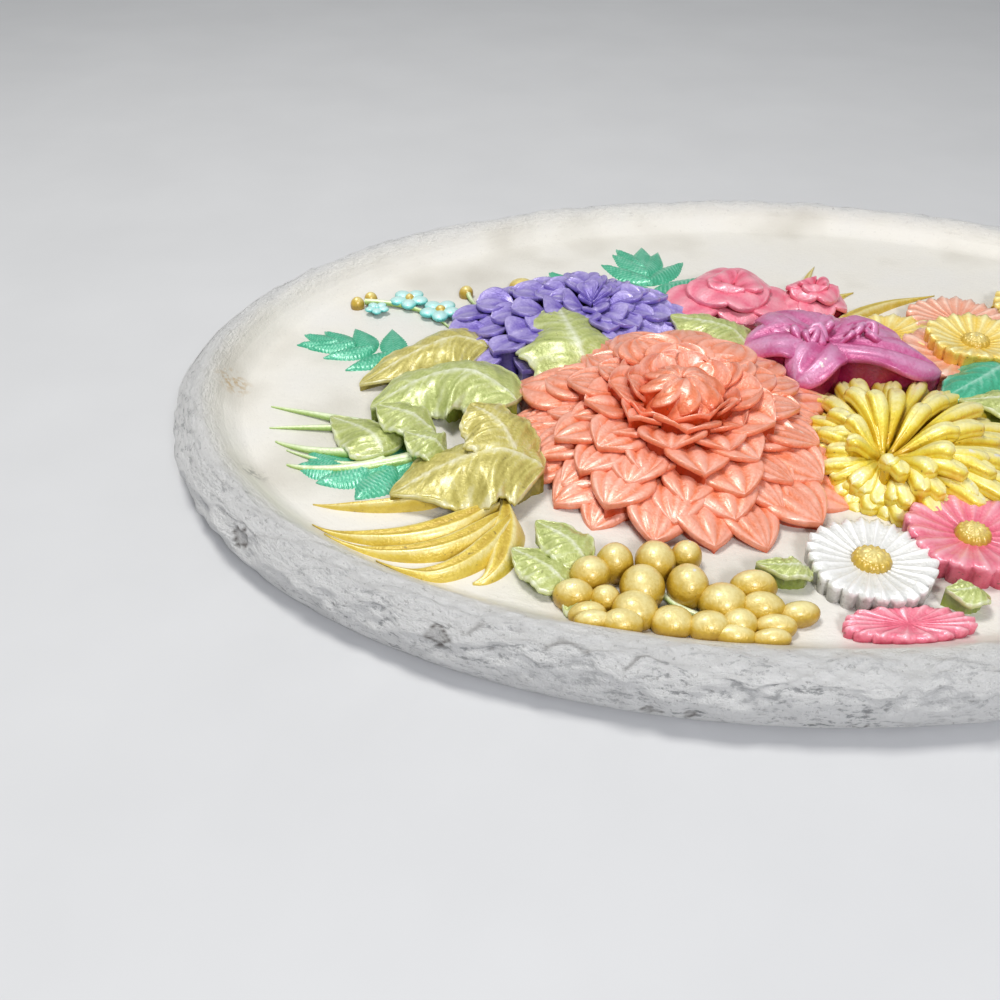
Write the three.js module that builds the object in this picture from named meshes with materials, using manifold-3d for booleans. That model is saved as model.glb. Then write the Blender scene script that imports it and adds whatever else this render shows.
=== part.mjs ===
import * as THREE from "three";
import { mergeVertices } from "three/addons/utils/BufferGeometryUtils.js";
import Module from "manifold-3d";

// Oval wall plaque of painted plaster, poured in one piece: a shallow dish with a thick rounded rim
// and a high relief bouquet in its field. Millimetres. It is drawn lying on its back, with x to the
// right and y up as it hangs and z out of the back, and the last lines stand it upright.

// Driving dimensions of the dish
const plaqueHeight = 400;
const plaqueWidth = 300;
const rimHeight = 20;
const rimBelly = 10.4; // height at which the rim is widest
const rimBand = 11; // from the widest line in to the crest of the rim
const backInset = 10; // from the widest line in to the edge of the flat back
const slopeRun = 13; // from the crest of the rim in to the field
const fieldThickness = 12;
const reliefRoot = 5; // how far each raised form is rooted below the field
const rimSegments = 48;
const joinTolerance = 0.03; // slivers thinner than this are closed where two forms meet

// Driving dimensions of the flowers, given as radius and as height over the field
const dahliaRadius = 55;
const dahliaHeight = 25;
const budRadius = 12;
const smallDahliaRadius = 31;
const smallDahliaHeight = 17;
const mumHeight = 21;
const quillWidth = 7;
const scabiousHeight = 15;
const roseHeight = 13;
const lilyHeight = 18;
const daisyHeight = 7;
const berryHeight = 10;
const stemWidth = 4;
const stemHeight = 3.4;
const bladeHeight = 4;
const frondHeight = 2.6;
const leafletOverlap = 2; // how far a leaflet starts behind the stalk that it grows from
const edgeSink = 0.5; // how far the thin edges of blades, stalks and fronds run into the field

// The bouquet is laid out on an oval of this size and follows the dish when that is made larger
const drawnWidth = 300;
const drawnHeight = 400;

const halfWidth = plaqueWidth / 2;
const halfHeight = plaqueHeight / 2;
const rootLevel = fieldThickness - reliefRoot;

const wasm = await Module();
wasm.setup();

const place = ([x, y]) => [(x * plaqueWidth) / drawnWidth, (y * plaqueHeight) / drawnHeight];
const mix = THREE.MathUtils.lerp;

// Distance from the middle of the oval to its widest line, in one direction
function edgeRadius(angle) {
  const across = halfHeight * Math.cos(angle);
  const along = halfWidth * Math.sin(angle);
  return (halfWidth * halfHeight) / Math.hypot(across, along);
}

// Height of the slope between the crest of the rim and the field, where down runs from 0 to 1
function slopeHeight(down) {
  return fieldThickness + ((rimHeight - fieldThickness) * (1 + Math.cos(Math.PI * down))) / 2;
}

// Height of the bare dish at a place inside the crest of the rim
function surfaceHeight(x, y) {
  const inset = edgeRadius(Math.atan2(y, x)) - Math.hypot(x, y);
  return slopeHeight(THREE.MathUtils.clamp((inset - rimBand) / slopeRun, 0, 1));
}

// Closed solid from corner points and triangles; triangles that share a corner twice are dropped
function solidFrom(points, triangles) {
  const geometry = new THREE.BufferGeometry();
  geometry.setAttribute("position", new THREE.Float32BufferAttribute(points.flat(), 3));
  geometry.setIndex(triangles.flat());
  const merged = mergeVertices(geometry, 1e-3);
  const index = merged.index.array;
  const kept = [];
  for (let i = 0; i < index.length; i += 3) {
    const [a, b, c] = index.slice(i, i + 3);
    if (a !== b && b !== c && c !== a) kept.push(a, b, c);
  }
  const vertProperties = new Float32Array(merged.attributes.position.array);
  const triVerts = new Uint32Array(kept);
  return new wasm.Manifold(new wasm.Mesh({ numProp: 3, vertProperties, triVerts }));
}

// Triangles of the band between two closed loops of corner numbers, with the faces turned outwards
function loopBand(lower, upper) {
  return lower.flatMap((corner, i) => {
    const next = (i + 1) % lower.length;
    return [
      [corner, lower[next], upper[next]],
      [corner, upper[next], upper[i]],
    ];
  });
}

// The bare dish: loops of the oval from the back, round the rim and down into the field
function dish() {
  const quarter = Math.PI / 2;
  const section = [];
  for (const turn of [0, 0.5]) {
    section.push([backInset * (1 - Math.sin(turn * quarter)), rimBelly * (1 - Math.cos(turn * quarter))]);
  }
  for (const turn of [0, 1 / 3, 2 / 3, 1]) {
    const inset = rimBand * (1 - Math.cos(turn * quarter));
    section.push([inset, rimBelly + (rimHeight - rimBelly) * Math.sin(turn * quarter)]);
  }
  for (const down of [1 / 3, 2 / 3, 1]) section.push([rimBand + slopeRun * down, slopeHeight(down)]);
  const points = [];
  const loops = section.map(([inset, height]) => {
    return Array.from({ length: rimSegments }, (_, i) => {
      const angle = (2 * Math.PI * i) / rimSegments;
      const radius = edgeRadius(angle) - inset;
      return points.push([radius * Math.cos(angle), radius * Math.sin(angle), height]) - 1;
    });
  });
  const backMiddle = points.push([0, 0, 0]) - 1;
  const fieldMiddle = points.push([0, 0, fieldThickness]) - 1;
  const triangles = [];
  for (let i = 1; i < loops.length; i += 1) triangles.push(...loopBand(loops[i - 1], loops[i]));
  for (let i = 0; i < rimSegments; i += 1) {
    const next = (i + 1) % rimSegments;
    triangles.push([backMiddle, loops[0][next], loops[0][i]]);
    triangles.push([fieldMiddle, loops.at(-1)[i], loops.at(-1)[next]]);
  }
  return solidFrom(points, triangles);
}

// Outlines of the raised forms: places along the line, each with its share of the full width
const pointedPetal = [[0, 0], [0.58, 1], [1, 0]];
const lilyPetal = [[0, 0], [0.45, 1], [0.8, 0.74], [1, 0]];
const roundPetal = [[0, 0], [0.5, 1], [1, 0.5]];
const quill = [[0, 0], [0.7, 1], [1, 0.7]];
const leafBlade = [[0, 0], [0.35, 1], [0.7, 0.72], [1, 0]];
const leaflet = [[0, 0], [0.45, 1], [1, 0]];
const grassBlade = [[0, 0.7], [0.35, 1], [0.7, 0.6], [1, 0]];
const stalk = [[0, 0.7], [0.5, 1], [1, 1]];

// A raised form along a line on the field, with a left edge, a middle and a right edge. The height
// over the bare dish is given for each place: u runs along the line and v is -1, 0 or 1 across it.
function ribbon({ line, outline, width, lift }) {
  const path = new THREE.CatmullRomCurve3(line.map(([x, y]) => new THREE.Vector3(x, y, 0)));
  const points = [];
  const rows = outline.map(([u, share]) => {
    const { x, y } = path.getPoint(u);
    const tangent = path.getTangent(u);
    return [-1, 0, 1].map((v) => {
      const side = (v * share * width) / 2;
      const px = x - tangent.y * side;
      const py = y + tangent.x * side;
      const top = points.push([px, py, surfaceHeight(px, py) + lift(u, share > 0 ? v : 0)]) - 1;
      points.push([px, py, rootLevel]);
      return top;
    });
  });
  const triangles = [];
  for (let i = 1; i < rows.length; i += 1) {
    for (const j of [0, 1]) {
      const [a, b, c, d] = [rows[i - 1][j], rows[i][j], rows[i][j + 1], rows[i - 1][j + 1]];
      triangles.push([a, b, c], [a, c, d]);
      triangles.push([a + 1, c + 1, b + 1], [a + 1, d + 1, c + 1]);
    }
  }
  const edge = rows.map((row) => row[0]);
  edge.push(rows.at(-1)[1]);
  edge.push(...rows.map((row) => row[2]).reverse());
  edge.push(rows[0][1]);
  triangles.push(...loopBand(edge.map((corner) => corner + 1), edge));
  return solidFrom(points, triangles);
}

// A raised round form: loops from its foot to its crown, each with a radius for every direction,
// closed by a single point at the top
function mound({ centre, loops, crown, sides }) {
  const [x, y] = centre;
  const base = surfaceHeight(x, y);
  const points = [];
  const ring = (radius, height) => {
    return Array.from({ length: sides }, (_, i) => {
      const angle = (2 * Math.PI * i) / sides;
      const reach = radius(angle);
      return points.push([x + reach * Math.cos(angle), y + reach * Math.sin(angle), height]) - 1;
    });
  };
  const rings = [ring(loops[0].radius, rootLevel)];
  for (const { radius, lift } of loops) rings.push(ring(radius, base + lift));
  const foot = points.push([x, y, rootLevel]) - 1;
  const top = points.push([x, y, base + crown]) - 1;
  const triangles = [];
  for (let i = 1; i < rings.length; i += 1) triangles.push(...loopBand(rings[i - 1], rings[i]));
  for (let i = 0; i < sides; i += 1) {
    const next = (i + 1) % sides;
    triangles.push([foot, rings[0][next], rings[0][i]], [top, rings.at(-1)[i], rings.at(-1)[next]]);
  }
  return solidFrom(points, triangles);
}

// Distance from a root point to the edge of an oval, in one direction
function reachOf(root, oval, angle) {
  const [dx, dy] = [Math.cos(angle) / oval.halfX, Math.sin(angle) / oval.halfY];
  const [ox, oy] = [(root[0] - oval.x) / oval.halfX, (root[1] - oval.y) / oval.halfY];
  const a = dx * dx + dy * dy;
  const b = ox * dx + oy * dy;
  const c = ox * ox + oy * oy - 1;
  return (-b + Math.sqrt(b * b - a * c)) / a;
}

// A flower of tiers of petals that point away from its root and end on shares of an oval outline.
// A tier gives its share, its count of petals, their length, root and tip heights and cup. Petals
// stand side by side, and each is as wide as its part of the tier unless a width is given.
function tieredFlower({ root, oval, tiers, height, petal, width, bend = 0 }) {
  const [cx, cy] = place(root);
  const [ox, oy] = place([oval.x, oval.y]);
  const edge = { x: ox, y: oy, halfX: oval.halfX, halfY: oval.halfY };
  return tiers.flatMap((tier, t) => {
    return Array.from({ length: tier.count }, (_, i) => {
      const angle = (2 * Math.PI * (i + 0.37 * t)) / tier.count + 0.06 * Math.sin(7 * i + t);
      const reach = tier.share * reachOf([cx, cy], edge, angle) * (1 + 0.05 * Math.sin(5 * i + 2 * t));
      const start = Math.max(reach - tier.length, 0.12 * reach);
      const part = width ?? (2 * Math.PI * (start + reach)) / 2 / tier.count;
      const step = 0.04 * height * (i % 2);
      const sway = bend * reach * Math.sin(3 * i + t);
      const spot = (radius, side) => [
        cx + radius * Math.cos(angle) - side * Math.sin(angle),
        cy + radius * Math.sin(angle) + side * Math.cos(angle),
      ];
      return ribbon({
        line: [spot(start, 0), spot((start + reach) / 2, sway), spot(reach, 0)],
        outline: petal,
        width: part,
        lift: (u, v) => height * (mix(tier.rootRise, tier.tipRise, u) + tier.cup * v * v) - step,
      });
    });
  });
}

// Smooth dome, such as a berry, a bud or the button of a flower
function dome(centre, radiusX, radiusY, lift, sides = 6) {
  const radius = (share) => (angle) => {
    return (share * radiusX * radiusY) / Math.hypot(radiusY * Math.cos(angle), radiusX * Math.sin(angle));
  };
  const loops = [
    { radius: radius(1), lift: 0 },
    { radius: radius(0.75), lift: 0.75 * lift },
  ];
  return mound({ centre: place(centre), loops, crown: lift, sides });
}

// Flat open flower: a notched disc that rises to its rim, with a round button in the middle
function daisy({ centre, radiusX, radiusY, petals, lift, button, buttonLift = 3 }) {
  const notched = (share) => (angle) => {
    const oval = (radiusX * radiusY) / Math.hypot(radiusY * Math.cos(angle), radiusX * Math.sin(angle));
    return share * oval * (0.94 + 0.06 * Math.cos(petals * angle));
  };
  const loops = [{ radius: notched(1), lift }];
  const disc = mound({ centre: place(centre), loops, crown: 0.6 * lift, sides: 2 * petals });
  return button ? [disc, dome(centre, button, button, 0.8 * lift + buttonLift)] : [disc];
}

// Big flower with tiers of pointed petals round a closed bud
function dahlia({ root, radius, height, bud, tiers }) {
  const oval = { x: root[0], y: root[1], halfX: radius, halfY: radius };
  const petals = tieredFlower({ root, oval, tiers, height, petal: pointedPetal });
  return [...petals, dome(root, bud, bud, height)];
}

const bigDahlia = dahlia({
  root: [35, -36],
  radius: dahliaRadius,
  height: dahliaHeight,
  bud: budRadius,
  tiers: [
    { share: 1, count: 13, length: 22, rootRise: 0.3, tipRise: 0.16, cup: 0.05 },
    { share: 0.86, count: 11, length: 22, rootRise: 0.42, tipRise: 0.36, cup: 0.07 },
    { share: 0.7, count: 9, length: 20, rootRise: 0.5, tipRise: 0.58, cup: 0.08 },
    { share: 0.52, count: 7, length: 17, rootRise: 0.5, tipRise: 0.74, cup: 0.09 },
    { share: 0.35, count: 6, length: 11, rootRise: 0.45, tipRise: 0.86, cup: 0.09 },
  ],
});

const smallDahlia = dahlia({
  root: [16, 122],
  radius: smallDahliaRadius,
  height: smallDahliaHeight,
  bud: 7,
  tiers: [
    { share: 1, count: 8, length: 14, rootRise: 0.4, tipRise: 0.3, cup: 0.06 },
    { share: 0.68, count: 6, length: 13, rootRise: 0.6, tipRise: 0.72, cup: 0.08 },
  ],
});

// Chrysanthemum of narrow rounded quills, with its root near one side of its outline
const mum = tieredFlower({
  root: [60, 21],
  oval: { x: 44, y: 36, halfX: 41, halfY: 37 },
  height: mumHeight,
  petal: quill,
  width: quillWidth,
  bend: 0.1,
  tiers: [
    { share: 1, count: 15, length: 34, rootRise: 0.6, tipRise: 0.42, cup: -0.3 },
    { share: 0.75, count: 10, length: 26, rootRise: 0.7, tipRise: 0.85, cup: -0.3 },
    { share: 0.46, count: 6, length: 18, rootRise: 0.7, tipRise: 1.05, cup: -0.3 },
  ],
});

// Long mound of small rounded petals that overlap like scales
const scabious = tieredFlower({
  root: [-36, -54],
  oval: { x: -29, y: -62, halfX: 33, halfY: 46 },
  height: scabiousHeight,
  petal: roundPetal,
  tiers: [
    { share: 1, count: 11, length: 13, rootRise: 0.7, tipRise: 0.4, cup: 0.05 },
    { share: 0.74, count: 8, length: 13, rootRise: 0.9, tipRise: 0.72, cup: 0.06 },
    { share: 0.45, count: 5, length: 12, rootRise: 1, tipRise: 0.95, cup: 0.06 },
  ],
});

// Blooms of a few wide rounded petals
const roses = [
  { root: [-51, -1], halfX: 20, halfY: 25 },
  { root: [64, 98], halfX: 27, halfY: 26 },
].flatMap(({ root, halfX, halfY }) => {
  return tieredFlower({
    root,
    oval: { x: root[0], y: root[1], halfX, halfY },
    height: roseHeight,
    petal: roundPetal,
    tiers: [
      { share: 1, count: 5, length: 16, rootRise: 0.7, tipRise: 0.55, cup: 0.08 },
      { share: 0.6, count: 3, length: 12, rootRise: 0.8, tipRise: 0.95, cup: 0.1 },
    ],
  });
});

// Open lily: broad petals from one throat, and short curled stamens over it
const lilyThroat = [-2, 20];
const lilyPetals = [
  { tip: [-7, -7], width: 24 },
  { tip: [16, 6], width: 17 },
  { tip: [12, 56], width: 18 },
  { tip: [-10, 50], width: 15 },
  { tip: [-24, 31], width: 16 },
  { tip: [-30, 8], width: 20 },
].map(({ tip, width }) => {
  return ribbon({
    line: [place(lilyThroat.map((value, i) => value - 0.12 * (tip[i] - value))), place(tip)],
    outline: lilyPetal,
    width,
    lift: (u, v) => lilyHeight * (0.68 + 0.28 * Math.sin(Math.PI * u) - 0.12 * u + 0.05 * v * v),
  });
});
const lilyStamens = Array.from({ length: 6 }, (_, i) => {
  const [x, y] = [lilyThroat[0] - 3 + 1.3 * (i % 3), lilyThroat[1] - 8 + 4 * i];
  return ribbon({
    line: [place([x - 6, y]), place([x, y + 2]), place([x + 6, y + 1])],
    outline: leaflet,
    width: 4,
    lift: (u, v) => lilyHeight * (0.98 + 0.14 * Math.sin(Math.PI * u) - 0.08 * v * v),
  });
});

// Flat flowers: centre, half sizes, count of petals, height and size of the button
const daisies = [
  { centre: [101, 5], radiusX: 17, radiusY: 17, petals: 11, lift: daisyHeight, button: 5.5 },
  { centre: [92, 36], radiusX: 17, radiusY: 18, petals: 9, lift: daisyHeight + 1, button: 5 },
  { centre: [-33, 80], radiusX: 17, radiusY: 18, petals: 9, lift: daisyHeight, button: 0 },
  { centre: [-6, 70], radiusX: 19, radiusY: 20, petals: 8, lift: daisyHeight + 1, button: 0 },
  { centre: [-11, 77], radiusX: 16, radiusY: 17, petals: 9, lift: daisyHeight + 5, button: 5 },
  { centre: [-24, 50], radiusX: 13, radiusY: 21, petals: 8, lift: daisyHeight, button: 0 },
  { centre: [99, 66], radiusX: 15, radiusY: 15, petals: 8, lift: daisyHeight, button: 5 },
  { centre: [-42, 113], radiusX: 15, radiusY: 15, petals: 8, lift: daisyHeight, button: 5 },
  { centre: [123, 8], radiusX: 6, radiusY: 17, petals: 8, lift: 4, button: 0 },
].flatMap(daisy);

// Small five-petalled flowers: centre and radius
const starFlowers = [
  [-60, -124, 8],
  [-53, -111, 8],
  [-52, -131, 5],
  [-62, 128, 8],
].flatMap(([x, y, radius]) => {
  return daisy({ centre: [x, y], radiusX: radius, radiusY: radius, petals: 5, lift: 3, button: 0 });
});

// Leaves: the line of the midrib from root to tip, the width, and the heights of root and tip
const leaves = [
  { line: [[10, -60], [-10, -66], [-35, -68]], width: 36, root: 14, tip: 14 },
  { line: [[-6, -2], [-14, -14], [-24, -29]], width: 26, root: 13, tip: 14 },
  { line: [[-16, -94], [-16, -112], [0, -138]], width: 27, root: 12, tip: 3 },
  { line: [[22, -86], [10, -108], [20, -133]], width: 32, root: 15, tip: 6 },
  { line: [[60, -80], [58, -100], [67, -125]], width: 34, root: 15, tip: 6 },
  { line: [[58, -86], [48, -94], [40, -101]], width: 24, root: 15, tip: 19 },
  { line: [[44, -128], [34, -134], [20, -146]], width: 17, root: 8, tip: 3 },
  { line: [[36, -112], [32, -122], [26, -130]], width: 15, root: 11, tip: 11 },
  { line: [[50, -108], [48, -114], [42, -121]], width: 13, root: 12, tip: 11 },
  { line: [[99, -71], [92, -77], [84, -84]], width: 13, root: 8, tip: 8 },
  { line: [[106, -77], [100, -84], [93, -91]], width: 12, root: 6, tip: 6 },
  { line: [[116, -70], [112, -74], [108, -80]], width: 10, root: 3, tip: 3 },
  { line: [[2, 84], [14, 72], [27, 50]], width: 24, root: 9, tip: 9 },
  { line: [[34, 86], [30, 74], [28, 56]], width: 16, root: 10, tip: 9 },
  { line: [[112, 30], [115, 26], [114, 20]], width: 9, root: 6, tip: 6 },
  { line: [[102, -12], [104, -18], [103, -27]], width: 8, root: 6, tip: 7 },
  { line: [[-20, 100], [-12, 116], [-18, 140]], width: 24, root: 9, tip: 3 },
  { line: [[44, 118], [46, 132], [40, 150]], width: 22, root: 8, tip: 3 },
  { line: [[84, 78], [92, 88], [88, 104]], width: 16, root: 7, tip: 3 },
  { line: [[16, 148], [14, 156], [10, 168]], width: 14, root: 5, tip: 2 },
].map(({ line, width, root, tip }) => {
  return ribbon({
    line: line.map(place),
    outline: leafBlade,
    width,
    lift: (u, v) => mix(root, tip, u) + 0.1 * width * Math.sin(Math.PI * u) * (1 - 1.3 * v * v),
  });
});

// Long grass blades: the line from root to tip and the width at the root
const blades = [
  { line: [[67, -118], [69, -132], [66, -146]], width: 7 },
  { line: [[70, -94], [81, -120], [75, -147]], width: 14 },
  { line: [[74, -92], [88, -115], [81, -143]], width: 12 },
  { line: [[76, -90], [96, -108], [93, -128]], width: 12 },
  { line: [[68, -92], [92, -94], [101, -102]], width: 15 },
  { line: [[-28, 27], [-60, 30], [-90, 43]], width: 11 },
  { line: [[-30, 30], [-52, 36], [-66, 52]], width: 11 },
  { line: [[-28, 32], [-48, 52], [-62, 83]], width: 10 },
  { line: [[-26, 36], [-36, 52], [-40, 71]], width: 9 },
  { line: [[-44, 98], [-60, 116], [-80, 124]], width: 10 },
  { line: [[-30, 118], [-46, 138], [-50, 152]], width: 9 },
  { line: [[56, 112], [70, 126], [74, 144]], width: 10 },
  { line: [[30, 140], [34, 156], [28, 172]], width: 9 },
].map(({ line, width }) => {
  return ribbon({
    line: line.map(place),
    outline: grassBlade,
    width,
    lift: (u, v) => bladeHeight * (1.8 - 1.3 * u) * (1 - v * v) - edgeSink,
  });
});

// Stems below the bouquet, the stalks of the sprigs and the tendrils: line and share of stem width
const stems = [
  { line: [[9, -167], [17, -149], [25, -132]], share: 1 },
  { line: [[22, -166], [24, -148], [27, -132]], share: 0.9 },
  { line: [[30, -163], [38, -146], [39, -126]], share: 1.3 },
  { line: [[35, -159], [45, -140], [44, -128]], share: 0.9 },
  { line: [[43, -158], [47, -138], [40, -110]], share: 1.4 },
  { line: [[-36, -104], [-56, -118], [-63, -140]], share: 0.7 },
  { line: [[-50, -92], [-62, -98], [-68, -100]], share: 0.6 },
  { line: [[96, -50], [108, -52], [118, -44]], share: 0.6 },
  { line: [[104, -44], [112, -38], [122, -40]], share: 0.6 },
  { line: [[-14, 132], [-22, 148], [-24, 160]], share: 0.7 },
].map(({ line, share }) => {
  return ribbon({
    line: line.map(place),
    outline: stalk,
    width: stemWidth * share,
    lift: (u, v) => stemHeight * share * (0.8 + 0.9 * u) * (1 - v * v) - edgeSink,
  });
});

// Fern fronds: a stalk with pairs of narrow leaflets and one at its tip
const fronds = [
  { line: [[-10, -122], [-18, -142], [-24, -158]], leaf: 19, width: 9, pairs: 2 },
  { line: [[50, -118], [54, -138], [57, -156]], leaf: 15, width: 8, pairs: 2 },
  { line: [[-66, -36], [-92, -34], [-112, -38]], leaf: 22, width: 9, pairs: 2 },
  { line: [[-8, 130], [-20, 148], [-30, 162]], leaf: 17, width: 8, pairs: 2 },
  { line: [[82, 92], [94, 104], [100, 116]], leaf: 15, width: 8, pairs: 1 },
].flatMap(({ line, leaf, width, pairs }) => {
  const path = new THREE.CatmullRomCurve3(line.map(([x, y]) => new THREE.Vector3(x, y, 0)));
  const frondLeaf = (x, y, heading, length) => {
    const spot = (reach) => place([x + reach * Math.cos(heading), y + reach * Math.sin(heading)]);
    return ribbon({
      line: [spot(-leafletOverlap), spot(length)],
      outline: leaflet,
      width,
      lift: (u, v) => frondHeight * (1.3 - 0.4 * u) * (1 - v * v) - edgeSink,
    });
  };
  const leaflets = [];
  for (let i = 0; i <= pairs; i += 1) {
    const u = (i + 0.4) / (pairs + 0.6);
    const { x, y } = path.getPoint(u);
    const tangent = path.getTangent(u);
    const heading = Math.atan2(tangent.y, tangent.x);
    const length = leaf * (1 - 0.25 * u);
    const turns = i === pairs ? [0] : [-0.95, 0.95];
    leaflets.push(...turns.map((turn) => frondLeaf(x, y, heading + turn, length)));
  }
  return leaflets;
});

// Berries and buds: centre, half sizes and height
const berries = [
  [98, -64, 6, 6, 1],
  [98, -53, 7, 6.5, 1],
  [95, -44, 5, 5, 0.8],
  [102, -71, 6, 6.5, 0.9],
  [108, -58, 7.5, 7, 1],
  [108, -46, 7, 6.5, 1],
  [109, -76, 5, 6.5, 0.75],
  [111, -68, 4.5, 5, 0.7],
  [117, -61, 7, 7.5, 0.85],
  [118, -72, 4, 6, 0.55],
  [122, -72, 2.6, 6, 0.35],
  [122, -64, 5, 7, 0.55],
  [121, -52, 5.5, 6.5, 0.6],
  [124, -43, 5.5, 7, 0.6],
  [114, -38, 6.5, 8, 0.85],
  [109, -29, 5, 8, 0.9],
  [117, -28, 5, 7.5, 0.75],
  [122, -35, 5.5, 5.5, 0.6],
  [120, -19, 3.6, 6.5, 0.5],
  [124, -25, 3.6, 6.5, 0.45],
  [127, -37, 3, 7.5, 0.4],
  [128, -27, 2.6, 6.5, 0.35],
].map(([x, y, radiusX, radiusY, share]) => dome([x, y], radiusX, radiusY, berryHeight * share));
const buds = [
  [-62, -143, 3],
  [-64, -137, 2.5],
  [-68, -100, 3],
  [-75, -79, 5],
  [-24, 162, 3.5],
].map(([x, y, radius]) => dome([x, y], radius, radius, 5, 5));

const relief = [
  bigDahlia,
  smallDahlia,
  mum,
  scabious,
  roses,
  lilyPetals,
  lilyStamens,
  daisies,
  starFlowers,
  leaves,
  blades,
  stems,
  fronds,
  berries,
  buds,
].flat();

const casting = relief.reduce((body, form) => body.add(form), dish()).simplify(joinTolerance);
const cast = casting.getMesh();

const geometry = new THREE.BufferGeometry();
geometry.setAttribute("position", new THREE.BufferAttribute(new Float32Array(cast.vertProperties), 3));
geometry.setIndex(new THREE.BufferAttribute(new Uint32Array(cast.triVerts), 1));
geometry.computeVertexNormals();

const plaster = new THREE.MeshStandardMaterial({ color: "#edebe6", roughness: 0.45, metalness: 0.05 });
const plaque = new THREE.Mesh(geometry, plaster);
plaque.name = "plaque";

const part = new THREE.Group();
part.rotation.x = Math.PI / 2;
part.add(plaque);

export default part;
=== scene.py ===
"""Oval wall plaque of poured plaster with a painted high relief bouquet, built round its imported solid."""

import math

import bpy
import numpy as np
from mathutils import Matrix, Vector


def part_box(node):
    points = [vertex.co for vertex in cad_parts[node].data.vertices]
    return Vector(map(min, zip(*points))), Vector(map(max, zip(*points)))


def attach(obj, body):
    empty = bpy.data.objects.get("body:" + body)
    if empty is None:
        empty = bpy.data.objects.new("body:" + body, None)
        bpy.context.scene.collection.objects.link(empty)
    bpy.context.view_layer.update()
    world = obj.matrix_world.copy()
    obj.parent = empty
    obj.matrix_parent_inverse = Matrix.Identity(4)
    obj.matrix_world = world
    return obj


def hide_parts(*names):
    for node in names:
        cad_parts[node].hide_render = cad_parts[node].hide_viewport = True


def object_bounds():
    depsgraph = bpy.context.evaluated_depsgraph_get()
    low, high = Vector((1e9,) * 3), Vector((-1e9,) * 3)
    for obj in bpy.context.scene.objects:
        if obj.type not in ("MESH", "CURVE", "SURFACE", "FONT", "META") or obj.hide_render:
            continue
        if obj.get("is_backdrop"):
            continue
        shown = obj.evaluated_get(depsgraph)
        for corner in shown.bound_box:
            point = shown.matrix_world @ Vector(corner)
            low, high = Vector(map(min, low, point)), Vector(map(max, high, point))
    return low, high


bl_info = {
    "name": "Painted plaster wall plaque",
    "version": (1, 0, 0),
    "blender": (4, 5, 0),
    "location": "View3D > Sidebar > Plaque",
    "description": "Oval dish of poured plaster with a painted high relief bouquet",
    "category": "Object",
}

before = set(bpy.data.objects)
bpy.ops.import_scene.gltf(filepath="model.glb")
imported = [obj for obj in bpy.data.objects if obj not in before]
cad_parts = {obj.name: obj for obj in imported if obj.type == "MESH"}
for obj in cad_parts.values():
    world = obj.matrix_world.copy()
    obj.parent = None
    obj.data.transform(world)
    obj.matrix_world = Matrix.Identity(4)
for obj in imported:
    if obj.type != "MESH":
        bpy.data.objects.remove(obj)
CAD_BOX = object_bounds()
LOW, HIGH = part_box("plaque")

# The relief is laid out in millimetres on the face as it hangs: x to the right, y up, z out of the back
MM = 0.001
HALF_WIDTH = HIGH.x / MM
HALF_HEIGHT = HIGH.z / MM
FULL_DEPTH = -LOW.y / MM
RIM_BELLY = 10.4
RIM_BAND = 11.0
BACK_INSET = 10.0
SLOPE_RUN = 13.0
ROOT_DEPTH = 5.0
CLEARANCE = 0.15

SRGB_KNEE = 0.04045


def linear(code):
    """Linear colour of an sRGB hex code."""
    values = [int(code[i : i + 2], 16) / 255 for i in (1, 3, 5)]
    return (*(v / 12.92 if v <= SRGB_KNEE else ((v + 0.055) / 1.055) ** 2.4 for v in values), 1.0)


# Settings


def length(name, description, default, low, high):
    return bpy.props.FloatProperty(
        name=name, description=description, default=default, min=low, max=high, unit="LENGTH"
    )


def colour(name, description, code):
    return bpy.props.FloatVectorProperty(
        name=name, description=description, subtype="COLOR", default=linear(code)[:3], min=0.0, max=1.0
    )


class PlaqueDishSettings(bpy.types.PropertyGroup):
    rim_height: length("Rim height", "Height of the rim's crest over the flat back", 0.020, 0.014, 0.030)
    field_thickness: length("Field thickness", "Thickness of the plaster in the field", 0.012, 0.008, 0.018)
    rim_roughness: length("Rim roughness", "Depth of the lumps left on the rim by the pour", 0.0026, 0.0, 0.004)


class PlaqueBloomSettings(bpy.types.PropertyGroup):
    petal_wall: length("Petal wall", "Height of the rounded edge of a petal", 0.0020, 0.0008, 0.005)
    vein_depth: length("Vein depth", "Depth of the grooves that run along the petals", 0.0013, 0.0, 0.0025)
    quill_width: length("Quill width", "Width of one quill of the chrysanthemum", 0.0056, 0.004, 0.009)


class PlaquePaintSettings(bpy.types.PropertyGroup):
    plaster: colour("Plaster", "Off-white paint of the dish", "#E6E3DB")
    coral: colour("Coral", "Paint of the dahlias", "#EC855C")
    yellow: colour("Yellow", "Paint of the chrysanthemum", "#EFDA48")


# Shapes


def bend_of(line, u):
    """Places and unit tangents along the smooth arc through two or three points."""
    points = [np.array(p, float) for p in line]
    start, end = points[0], points[-1]
    middle = points[1] if len(points) == 3 else (start + end) / 2
    pull = 2 * middle - (start + end) / 2
    u = u[:, None]
    place = (1 - u) ** 2 * start + 2 * u * (1 - u) * pull + u**2 * end
    run = 2 * (1 - u) * (pull - start) + 2 * u * (end - pull)
    return place, run / np.linalg.norm(run, axis=1, keepdims=True)


def smooth_step(value):
    value = np.clip(value, 0, 1)
    return value * value * (3 - 2 * value)


def way_at(angle):
    return np.array([math.cos(angle), math.sin(angle)])


def left_of(way):
    return np.array([-way[1], way[0]])


def bell(value, place, width):
    """A smooth swelling from 0 up to 1 where the value is at the place."""
    return np.exp(-(((value - place) / width) ** 2))


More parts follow.
